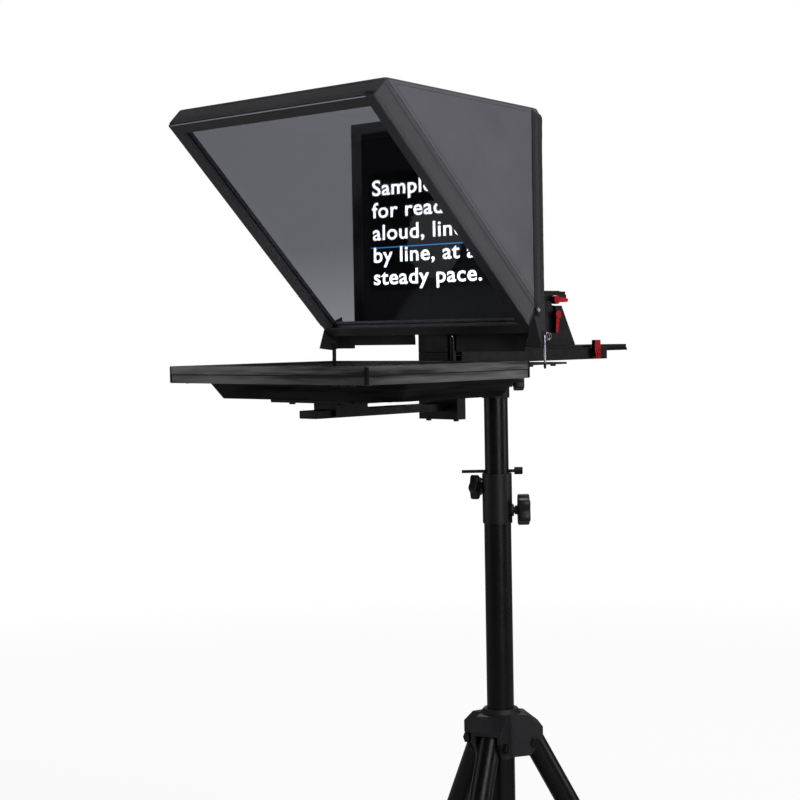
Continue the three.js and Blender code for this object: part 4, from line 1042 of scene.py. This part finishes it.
def add_rear_curtain():
    """One sheet across the back, folded round both sides, with an elastic lens opening."""
    node = "hood_rear_curtain"
    low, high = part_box(node)
    half = (high.x - low.x) / 2
    back = high.y
    depth = high.y - low.y
    hem, skirt, fold_top = -14 * mm, -19 * mm, 313 * mm
    right_half = [
        (46 * mm, 5 * mm), (46 * mm, hem), (half - 38 * mm, hem), (half - 38 * mm, skirt),
        (half, skirt), (half + 17.3 * mm, skirt - 2 * mm), (half + depth, skirt + 1 * mm),
        (half + 31 * mm, 12 * mm), (half + 18 * mm, 34 * mm), (half + 22 * mm, 42 * mm),
        (half + 22 * mm, fold_top + 9 * mm), (half + 3 * mm, fold_top + 3 * mm), (half, fold_top),
    ]
    outline = right_half + [(-u, v) for u, v in reversed(right_half)]
    lower_hem = -25 * mm
    outline[1:3] = [(46 * mm, lower_hem), (half - 38 * mm, lower_hem)]
    hole = [(LENS_RADIUS * math.cos(a), LENS_HEIGHT + LENS_RADIUS * math.sin(a))
            for a in (2 * math.pi * i / 90 for i in range(90))]
    turn_start = half - FOLD_RADIUS
    turn_length = FOLD_RADIUS * math.pi / 2

    def place(u, v, h):
        sign = 1 if u >= 0 else -1
        past = abs(u) - turn_start
        if past <= 0:
            x, y, nx, ny = abs(u), back, 0.0, 1.0
        elif past < turn_length:
            angle = past / FOLD_RADIUS
            nx, ny = math.sin(angle), math.cos(angle)
            x = turn_start + FOLD_RADIUS * nx
            y = back - FOLD_RADIUS + FOLD_RADIUS * ny
        else:
            x, y, nx, ny = half, back - FOLD_RADIUS - (past - turn_length), 1.0, 0.0
        return Vector((HEAD.x + sign * (x + nx * h), y + ny * h, HEAD.z + v))

    def lift(points, distance):
        from_lens = np.hypot(points[:, 0], points[:, 1] - LENS_HEIGHT) - LENS_RADIUS
        angle = np.arctan2(points[:, 1] - LENS_HEIGHT, points[:, 0])
        ruffle = 1.7 * mm * lens_gathers(angle) * np.exp(-from_lens / (20 * mm))
        hang = smoothstep((20 * mm - points[:, 1]) / (30 * mm))
        flat = np.abs(points[:, 0]) < half - 12 * mm
        drape = 2.5 * mm * hang * np.sin(points[:, 0] / (11 * mm)) * flat
        groove_line = np.abs(np.abs(points[:, 0]) - (half + 9 * mm))
        groove = -1.4 * mm * np.exp(-(groove_line / (1.0 * mm)) ** 2) * (points[:, 1] > 42 * mm)
        slack = smoothstep((distance - 6 * mm) / (40 * mm)) * flat
        bumps = 1.2 * mm * slack * waves(points, 60 * mm, 31.0)
        return hemmed(points, distance) + ruffle + drape + groove + bumps

    folds = []
    for sign in (-1, 1):
        for offset in (-3.5, -1.2, 0.6, 2.4, 7.6, 9.0, 10.4):
            u = sign * (half + offset * mm)
            folds.append(((u, skirt), (u, fold_top + 9 * mm)))
    # The skirt below the fold gets painted shade, near black, but for a narrow tail; its edge as (depth,
    # height) points.
    reach = back - HEAD.y - 2 * FOLD_RADIUS + turn_length
    tail_edge = [(-6, 43), (9.5, 25), (-3.1, 25), (12.6, -20)]
    tail_edge = [(half + reach - y * mm, z * mm) for y, z in tail_edge]
    for a, b in zip(tail_edge, tail_edge[1:]):
        folds += [(a, b), ((-a[0], a[1]), (-b[0], b[1]))]
    shade_area = np.array(tail_edge + [(half + 60 * mm, -20 * mm), (half + 60 * mm, 43 * mm)])
    pattern = cloth_pattern(outline, [hole], spacing=6 * mm, rings=HEM_RINGS[:3], creases=folds)
    curtain = cover(node, node + "_sheet", pattern, place,
                    ["curtain_cloth", "lining_cloth", "shade_black_cloth"], lift, 2 * mm)
    middles = np.array([pattern[0][list(face)].mean(0) for face in pattern[1]])
    middles[:, 0] = np.abs(middles[:, 0])
    for index in np.flatnonzero(boundary_distance(middles, [shade_area])[1]):
        curtain.data.polygons[int(index)].material_index = 2
    add_lens_elastic(place)
    rows = []
    for sign in (-1, 1):
        for u, foot, top in (
            (half + 18 * mm, 36 * mm, fold_top + 3 * mm),
            (half - 6 * mm, skirt + 6 * mm, fold_top - 4 * mm),
        ):
            rows.append(([(sign * u, foot), (sign * u, top)], place, 0.0))
    rows.append(([(-half + 8 * mm, fold_top - 5 * mm), (half - 8 * mm, fold_top - 5 * mm)], place, 0.0))
    stitching(node + "_stitching", rows, "hood")


def add_notch_shade_sheet():
    """A near black sheet that closes the gap between the hinge and the curtain's notch: painted shade in
    that gap.
    """
    depth = head(0, 27.4, 0).y
    corners = ((1, -1.2), (31.5, -1.2), (31.5, -24), (52, -24), (52, 10), (1, 10))
    outline = [(head(x, 0, 0).x, head(0, 0, z).z) for x, z in corners]
    shade_sheet = sheet("hood_notch_shade_sheet", cloth_pattern(outline, spacing=4 * mm, rings=HEM_RINGS[:3]),
                   lambda u, v, h: Vector((u, depth + h, v)), CLOTH, ["shade_black_cloth", "shade_black_cloth"], hemmed)
    dress(shade_sheet)


def add_lens_elastic(place):
    """The gathered elastic hem round the lens opening."""
    steps, around = 204, 10
    vertices, faces = [], []
    for i in range(steps):
        angle = 2 * math.pi * i / steps
        gather = float(lens_gathers(angle))
        radius = 3.4 * mm * (1 + 0.16 * gather)
        for k in range(around):
            turn = 2 * math.pi * k / around
            out = LENS_RADIUS + radius * math.cos(turn)
            lift = -CLOTH / 2 + 1.5 * mm * gather + radius * math.sin(turn)
            vertices.append(place(out * math.cos(angle), LENS_HEIGHT + out * math.sin(angle), lift))
    for i in range(steps):
        for k in range(around):
            a, b = i * around, ((i + 1) % steps) * around
            faces.append((a + k, a + (k + 1) % around, b + (k + 1) % around, b + k))
    elastic = mesh_object("lens_opening_elastic", vertices, faces, ["curtain_cloth"])
    dress(elastic)


def add_hood_strap():
    """The webbing strap: a soft S-curve with thicker selvedges."""
    low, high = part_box("hood_strap")
    width = high.x - low.x
    centre = (low.x + high.x) / 2
    length = high.z - low.z
    across, along = 9, 40
    vertices, faces = [], []
    for layer in (1, -1):
        for j in range(along + 1):
            v = j / along
            bend = 1.1 * mm * math.sin(v * math.pi * 1.6) * v
            tip = 1.0 if v < 0.94 else 1 - 0.5 * ((v - 0.94) / 0.06) ** 2
            for i in range(across):
                u = i / (across - 1) * 2 - 1
                edge = 0.25 * mm * (abs(u) > 0.7) - 0.45 * mm * (abs(u) > 0.95)
                x = centre + u * width / 2 * tip
                y = (low.y + high.y) / 2 + bend + layer * (0.75 * mm + edge)
                vertices.append(Vector((x, y, high.z - v * length)))
    row = across
    count = (along + 1) * row
    for j in range(along):
        for i in range(row - 1):
            a = j * row + i
            faces.append((a, a + 1, a + row + 1, a + row))
            faces.append((count + a + row, count + a + row + 1, count + a + 1, count + a))
    rim = list(range(row)) + [j * row + row - 1 for j in range(1, along + 1)]
    rim += [along * row + i for i in reversed(range(row - 1))]
    rim += [j * row for j in reversed(range(1, along))]
    for a, b in zip(rim, rim[1:] + rim[:1]):
        faces.append((b, a, a + count, b + count))
    strap = mesh_object("hood_strap_webbing", vertices, faces, ["webbing"])
    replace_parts(strap, "hood_strap")
    dress(strap, "hood_strap")


# ------------------------------------------------------------------ screws, trims and rings


def add_screws(name, body, slot, direction, radius, height, places, rounding=0.15):
    """Socket screws of one size on one face; places are (x, y, z) in mm from the head's origin."""
    screws = Fitting(name, body, slot)
    for place in places:
        screws.add(cap_screw(head(*place), direction, radius, height))
    screws.build(rounding)


def add_all_screws():
    down, up, rear, left = (0, 0, -1), (0, 0, 1), (0, 1, 0), (-1, 0, 0)
    plate_under, riser_floor, deck_top, cover_under = -50.5, -15.4, 51.4, -63
    add_screws("head_plate_screws", "head", "satin_black_steel", down, 4.5, 2.8,
               [(x, y, plate_under) for x in (-32, 32) for y in (70, 108, 206, 262)])
    add_screws("arm_clamp_screws", "head", "satin_black_steel", down, 4.2, 3.0,
               [(x, 32.5, -129) for x in (-29, 29)])
    add_screws("hanging_block_screws", "head", "satin_black_steel", rear, 4.5, 2.8,
               [(x, 42, z) for x in (-30, 30) for z in (-66, -90)])
    add_screws("riser_floor_screws", "sled", "satin_black_steel", up, 4.2, 2.6,
               [(x, y, riser_floor) for x in (-17, 17) for y in (146, 299)])
    add_screws("deck_screws", "riser", "satin_black_steel", up, 3.6, 2.2,
               [(x, 174, deck_top) for x in (-24, 24)])
    add_screws("clamp_jaw_screws", "riser", "satin_black_steel", left, 2.4, 1.6,
               [(-34, y, 57) for y in (206, 278)])
    add_screws("monitor_cover_screws", "monitor", "satin_black_steel", down, 2.6, 1.2,
               [(x, y, cover_under) for x in (-192, 192) for y in (-312, -11)] +
               [(0, -312, cover_under), (0, -11, cover_under)])


def add_hinge_barrel():
    """Knuckles of the hinge between the base and the hood, taken in turn by each leaf."""
    axis_y, axis_z, radius = 42.6, -25.85, 2.9
    knuckle, gap = 11.6, 0.4
    for name, body, first in (("hinge_knuckles_base", "head", 0), ("hinge_knuckles_hood", "hood", 1)):
        knuckles = Fitting(name, body, "satin_black_steel")
        for k in range(first, 5, 2):
            start = head(-30 + k * (knuckle + gap), axis_y, axis_z)
            knuckles.add(turned(start, X_AXIS, [
                (0, 0), (radius - 0.4, 0), (radius, 0.4), (radius, knuckle - 0.4),
                (radius - 0.4, knuckle), (0, knuckle)]))
        knuckles.build(0.1)


def add_camera_plate_pads():
    """Two ribbed rubber strips that grip the underside of the camera."""
    top = 67.6
    pads = Fitting("camera_plate_pads", "camera_plate", "foot_rubber")
    for x in (-23.5, 11.5):
        pads.add(box_shape(head(x, 174, top - 0.1), head(x + 12, 294, top + 0.7)))
        for y in range(177, 291, 4):
            pads.add(box_shape(head(x + 0.6, y, top + 0.5), head(x + 11.4, y + 2, top + 1.4)))
    pads.build(0.2)


def casing_corner(turn, run, offset):
    """Plan points round one corner of the monitor's casing, with a run along both sides."""
    low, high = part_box("monitor_bezel")
    radius = 2.5 * mm
    start = math.radians(turn)
    sign_x = 1 if turn in (-90, 0) else -1
    sign_y = 1 if turn in (0, 90) else -1
    x = (low.x + high.x) / 2 + sign_x * ((high.x - low.x) / 2 - radius)
    y = (low.y + high.y) / 2 + sign_y * ((high.y - low.y) / 2 - radius)
    points = []
    for k in range(7):
        angle = start + math.pi / 2 * k / 6
        points.append((x + (radius + offset) * math.cos(angle), y + (radius + offset) * math.sin(angle)))
    end = start + math.pi / 2
    first = (points[0][0] + math.sin(start) * run, points[0][1] - math.cos(start) * run)
    last = (points[-1][0] - math.sin(end) * run, points[-1][1] + math.cos(end) * run)
    return [first] + points + [last] if run else points


def add_monitor_trims():
    """The gasket between bezel and cover, and a black strip on each upright corner: a painted dark
    reflection on the rounded corner.
    """
    proud, sunk = 0.35 * mm, -1.2 * mm
    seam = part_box("monitor_bezel")[0].z
    # black strips on the upright corners: painted dark reflection
    dark_strips = Fitting("monitor_corner_dark_strips", "monitor", "foot_rubber")
    outer, inner = [], []
    for turn in (-90, 0, 90, 180):
        dark_strips.add(ribbon(
            casing_corner(turn, 1.6 * mm, proud), casing_corner(turn, 1.6 * mm, sunk),
            head(0, 0, -62.2).z, head(0, 0, -39).z, False))
        outer += casing_corner(turn, 0, 0.1 * mm)
        inner += casing_corner(turn, 0, sunk)
    dark_strips.build(0.15)
    gasket = Fitting("monitor_gasket", "monitor", "foot_rubber")
    gasket.add(ribbon(outer, inner, seam - 0.7 * mm, seam + 0.5 * mm, True))
    gasket.build(0.1)


def add_monitor_vents():
    """Louvres on the underside of the monitor's bulge."""
    vents = Fitting("monitor_vent_louvres", "monitor", "casing_plastic")
    under = -88.5
    for side in (-1, 1):
        for k in range(16):
            y = -212 + k * 8
            low_x, high_x = sorted((side * 104, side * 168))
            vents.add(box_shape(head(low_x, y, under - 0.9), head(high_x, y + 3.2, under + 0.3)))
    vents.build(0.4)


def add_sled_lever():
    """A broad cam lever with a finger pad, on the round hub of the sled's clamp."""
    low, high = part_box("sled_clamp_lever")
    centre = (low + high) / 2
    hub = Vector((low.x, centre.y, low.z + 7 * mm))
    lever = Fitting("sled_cam_lever", "sled_clamp_lever", "red_anodised")
    lever.add(turned(hub, X_AXIS, [(0, 0), (6.6, 0), (7, 0.4), (7, 8.6), (6.6, 9), (0, 9)], 32))
    lever.add(turned(hub + Vector((9, 0, 0)) * mm, X_AXIS, [
        (0, -0.5), (3.6, -0.5), (3.6, 0.6), (3.2, 1), (1.9, 1, 6), (1.9, 0.2, 6), (0, 0.2)], 24))
    lever.add(box_shape(hub + Vector((1.2, -7.5, 2)) * mm, hub + Vector((8.2, 7.5, 24)) * mm))
    for k in range(4):
        rib = hub + Vector((7.9, -6.5, 12 + 2.8 * k)) * mm
        lever.add(box_shape(rib, rib + Vector((0.9, 13, 1.4)) * mm))
    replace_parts(lever.build(0.5), "sled_clamp_lever")


def add_frame_trim():
    """A pale bead between the top bar of the frame and the flap above it: a painted highlight for the glint
    along the bar's top front edge.
    """
    trim = Fitting("frame_highlight_bead", "hood", "highlight_trim")
    level = FRAME_LENGTH - 2.4 * mm
    start = Vector((HEAD.x - 213 * mm, HEAD.y, HEAD.z)) + Vector(SLOPE_UP) * level
    length = 415
    trim.add(turned(start, X_AXIS, [
        (0, 0), (0.6, 0), (0.9, 1), (0.9, length - 1), (0.6, length), (0, length)], 12))
    trim.build()


def add_hood_pull():
    """Eyelet, split rings, swivel and shaft of the pull at the lower right rear corner."""
    low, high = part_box("hood_pull")
    top = Vector(((low.x + high.x) / 2, low.y + 4.2 * mm, high.z - 4.2 * mm))
    down = (0, 0, -1)
    pull = Fitting("hood_pull_fitting", "hood_pull", "bright_steel", "satin_black_steel")
    pull.add(wire_ring(top, X_AXIS, 3.4, 0.7), 1)
    pull.add(wire_ring(top + Vector((0, 7.6, -4)) * mm, (1, 0.3, 0.2), 5.2, 0.45))
    pull.add(wire_ring(top + Vector((0, 8.2, -5.2)) * mm, (1, -0.4, -0.3), 5.4, 0.45))
    pull.add(turned(top, down, [
        (0, 3.2), (1.2, 3.2), (2.0, 4.2), (2.0, 8), (1.2, 8.8), (1.2, 9.8), (1.9, 10.6), (1.9, 13.2),
        (1.7, 14.2), (1.7, 43), (0, 43)], 20))
    pull.add(turned(top, down, [
        (0, 42.8), (1.5, 42.8), (1.9, 43.6), (1.9, 49.5), (1.2, 51.8), (0, 51.8)], 20), 1)
    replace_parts(pull.build(0.08), "hood_pull")


def add_eyelets():
    """Metal eyelets at the lower ends of the side bands, and one in the strap."""
    eyelets = Fitting("band_eyelets", "hood", "bright_steel", "satin_black_steel")
    for sign in (-1, 1):
        spot = head(sign * 220.2, 6, 35)
        eyelets.add(wire_ring(spot, X_AXIS, 2.3, 0.5))
        eyelets.add(turned(spot, (sign, 0, 0), [(0, -1), (1.9, -1), (1.9, 0.1), (0, 0.1)]), 1)
    eyelets.build(0.05)
    low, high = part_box("hood_strap")
    strap_eyelet = Fitting("strap_eyelet", "hood_strap", "bright_steel")
    middle = Vector(((low.x + high.x) / 2, (low.y + high.y) / 2, high.z - 4.5 * mm))
    for offset in (-1.1, 1.1):
        strap_eyelet.add(wire_ring(middle + Vector((0, offset, 0)) * mm, Y_AXIS, 2.3, 0.5))
    strap_eyelet.build(0.05)


def add_hood_snaps():
    """Press studs inside the hood's rear corners."""
    for side, sign in (("right", 1), ("left", -1)):
        snaps = Fitting(f"hood_snaps_{side}", "hood", "satin_black_steel")
        for z in (60, 150, 240):
            start = head(sign * 214.6, 6, z)
            snaps.add(turned(start, (-sign, 0, 0), [
                (0, 0), (4.6, 0), (4.6, 0.8), (3.4, 1.4), (1.6, 1.8), (0, 1.9)]))
        snaps.build(0.1)


# ------------------------------------------------------------------ what the display shows

SCRIPT = ("Sample text", "for reading", "aloud, line", "by line, at a", "steady pace.")
SCRIPT_LEFT = -166               # places and heights in mm from the head's origin
SCRIPT_FIRST_LINE = 214.5
SCRIPT_LINE_STEP = 35.7
SCRIPT_CAPITALS = 24.0           # height of a capital letter
SCRIPT_WIDENING = 1.32
CAPITAL_SHARE = 0.7              # height of a capital letter for a letter size of one
READING_LINE = -130.5
TEXT_WINDOW_HALF = 172.5
TEXT_WINDOW_FAR = -250           # edge of the black window at the talent's side
TEXT_WINDOW_NEAR = -62


def rounded_corners(half, low, high, radius):
    """A rectangle from -half to half and low to high, with its corners rounded."""
    points = []
    for x, y, start in ((half, low, -90), (half, high, 0), (-half, high, 90), (-half, low, 180)):
        centre_x = x - math.copysign(radius, x)
        centre_y = y + radius if y == low else y - radius
        for k in range(6):
            angle = math.radians(start + 18 * k)
            points.append((centre_x + radius * math.cos(angle), centre_y + radius * math.sin(angle)))
    return points


def add_script():
    """Mirror-written lines of generic text on the display; the glass turns them round again."""
    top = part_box("display_panel")[1].z + 0.18 * mm
    thickness = 0.12 * mm
    vertices, faces = [], []
    for line, words in enumerate(SCRIPT):
        curve = bpy.data.curves.new("script", "FONT")
        curve.body = words
        curve.offset = 0.014
        curve.space_character = 1.06
        curve.resolution_u = 4
        probe = collection_add(bpy.data.objects.new("script", curve))
        flat = probe.evaluated_get(bpy.context.evaluated_depsgraph_get()).to_mesh()
        spots = [tuple(v.co) for v in flat.vertices]
        shapes = [tuple(p.vertices) for p in flat.polygons]
        bpy.data.objects.remove(probe)
        scale = SCRIPT_CAPITALS / CAPITAL_SHARE
        baseline = SCRIPT_FIRST_LINE - line * SCRIPT_LINE_STEP
        first = len(vertices)
        for layer in (0.0, thickness):
            for x, y, _ in spots:
                spot = head(SCRIPT_LEFT + x * scale * SCRIPT_WIDENING, -baseline - y * scale, 0)
                vertices.append(Vector((spot.x, spot.y, top + layer)))
        under = [tuple(first + i for i in shape) for shape in shapes]
        edges = {pair for shape in under for pair in zip(shape, shape[1:] + shape[:1])}
        faces += under + [tuple(i + len(spots) for i in reversed(shape)) for shape in under]
        faces += [(b, a, a + len(spots), b + len(spots)) for a, b in sorted(edges) if (b, a) not in edges]
    letters = mesh_object("script_text", vertices, faces, ["letters"], smooth=False)
    dress(letters, "monitor")

    window = [(head(x, 0, 0).x, head(0, y, 0).y) for x, y in rounded_corners(
        TEXT_WINDOW_HALF, TEXT_WINDOW_FAR, TEXT_WINDOW_NEAR, 6)]
    pane = sheet("text_window", cloth_pattern(window, spacing=30 * mm),
                 lambda u, v, h: Vector((u, v, top + h)), thickness, ["text_window", "text_window"])
    dress(pane, "monitor")

    level = head(0, READING_LINE, 0).y
    low, high = head(-170, 0, 0).x, head(170, 0, 0).x
    pattern = cloth_pattern(rectangle(low, high, level - 0.8 * mm, level + 0.8 * mm), spacing=40 * mm)
    line = sheet("reading_line", pattern, lambda u, v, h: Vector((u, v, top + thickness + h)), thickness,
                 ["guide_line", "guide_line"])
    dress(line, "monitor")
    for flat in (pane, line):
        flat.data.polygons.foreach_set("use_smooth", [False] * len(flat.data.polygons))


add_script()
add_side_panels()
add_side_bands()
add_top_flap()
add_hood_top()
add_rear_curtain()
add_hood_strap()
add_all_screws()
add_hinge_barrel()
add_camera_plate_pads()
add_monitor_trims()
add_monitor_vents()
add_sled_lever()
add_frame_trim()
add_notch_shade_sheet()
add_hood_pull()
add_eyelets()
add_hood_snaps()

# ------------------------------------------------------------------ studio and camera


FLOOR_GLOW = 0.76                # even light of the pale floor near the object
WORLD_FILL = 0.06                # what the white surroundings give besides the backdrop


def add_floor():
    """A wide pale disc that fades into the white surroundings."""
    mesh = bpy.data.meshes.new("floor")
    shape = bmesh.new()
    bmesh.ops.create_circle(shape, cap_ends=True, radius=40, segments=64)
    shape.to_mesh(mesh)
    shape.free()
    floor = collection_add(bpy.data.objects.new("floor", mesh))
    floor.location = (0, 0, cad_bounds[0].z - 0.5 * mm)
    s = Shader("floor")
    path = s.node("ShaderNodeLightPath").outputs
    seen = s.math("SUBTRACT", path["Is Camera Ray"], path["Transparent Depth"], True)
    mirrored = s.math("MULTIPLY", path["Is Glossy Ray"], 0.12)
    distance = s.node("ShaderNodeVectorMath", {"operation": "LENGTH"}, Vector=s.place)
    far = s.remap(distance.outputs["Value"], 1.0, 6.0, 0.0, 1.0 - FLOOR_GLOW)
    s.set(
        Base_Color=rgb(0.35, 0.35, 0.35), Roughness=s.remap(s.noise(3.0), 0, 1, 0.85, 0.95),
        Specular_IOR_Level=0.0, Emission_Color=rgb(1, 1, 1),
        Emission_Strength=s.math("ADD", mirrored, s.math("MULTIPLY", seen, s.math("ADD", FLOOR_GLOW, far))),
    )
    mesh.materials.append(s.material)


def add_light(name, target, direction, distance, size, power):
    light = bpy.data.lights.new(name, "AREA")
    light.shape = "RECTANGLE"
    light.size, light.size_y = size
    light.energy = power
    obj = collection_add(bpy.data.objects.new(name, light))
    direction = Vector(direction).normalized()
    obj.location = target + direction * distance
    obj.rotation_euler = direction.to_track_quat("Z", "Y").to_euler()


def add_studio():
    world = bpy.data.worlds.new("studio")
    bpy.context.scene.world = world
    world.use_nodes = True
    tree = world.node_tree
    background = tree.nodes["Background"]
    seen = tree.nodes.new("ShaderNodeLightPath")
    direct = tree.nodes.new("ShaderNodeMath")
    direct.operation = "SUBTRACT"
    direct.use_clamp = True
    tree.links.new(seen.outputs["Is Camera Ray"], direct.inputs[0])
    tree.links.new(seen.outputs["Transparent Depth"], direct.inputs[1])
    strength = tree.nodes.new("ShaderNodeMapRange")
    strength.inputs["To Min"].default_value = WORLD_FILL
    strength.inputs["To Max"].default_value = 1.0
    tree.links.new(direct.outputs[0], strength.inputs["Value"])
    tree.links.new(strength.outputs["Result"], background.inputs["Strength"])
    background.inputs["Color"].default_value = (1, 1, 1, 1)
    middle = head(0, 0, 0)
    for name, direction, distance, size, power in (
        ("overhead_softbox", (0.3, 0.15, 1), 2.6, (3.0, 3.0), 30),
        ("side_softbox", (1, -0.35, 0.3), 3.0, (1.2, 2.6), 46),
        ("front_left_softbox", (-1, -0.95, 0.12), 3.0, (1.7, 1.5), 9),
        ("rear_right_softbox", (1, 0.95, 0.1), 3.4, (1.5, 1.6), 16),
        ("rear_left_softbox", (-0.8, 1, 1), 3.2, (1.6, 1.6), 26),
    ):
        add_light(name, middle, direction, distance, size, power)
    scene = bpy.context.scene
    scene.view_settings.view_transform = "Standard"
    scene.view_settings.look = "None"
    scene.view_settings.exposure = 0.0


CAMERA_PLACE = (1878.6, -1951.95, 8.82)    # in mm from the head's origin, fitted to the photo
CAMERA_YAW = math.radians(44.79)
CAMERA_PITCH = math.radians(-2.25)
CAMERA_ROLL = math.radians(-1.03)
CAMERA_LENS = 79.68


def add_camera():
    camera = bpy.data.cameras.new("camera")
    camera.lens = CAMERA_LENS
    camera.sensor_width = 36
    camera.clip_end = 200
    obj = collection_add(bpy.data.objects.new("camera", camera))
    level = math.cos(CAMERA_PITCH)
    view = Vector((-math.sin(CAMERA_YAW) * level, math.cos(CAMERA_YAW) * level, math.sin(CAMERA_PITCH)))
    right = Vector((math.cos(CAMERA_YAW), math.sin(CAMERA_YAW), 0))
    up = right.cross(view)
    across = right * math.cos(CAMERA_ROLL) + up * math.sin(CAMERA_ROLL)
    upward = up * math.cos(CAMERA_ROLL) - right * math.sin(CAMERA_ROLL)
    turn = Matrix((across, upward, -view)).transposed()
    obj.matrix_world = Matrix.Translation(head(*CAMERA_PLACE)) @ turn.to_4x4()
    bpy.context.scene.camera = obj


add_floor()
add_studio()
add_camera()
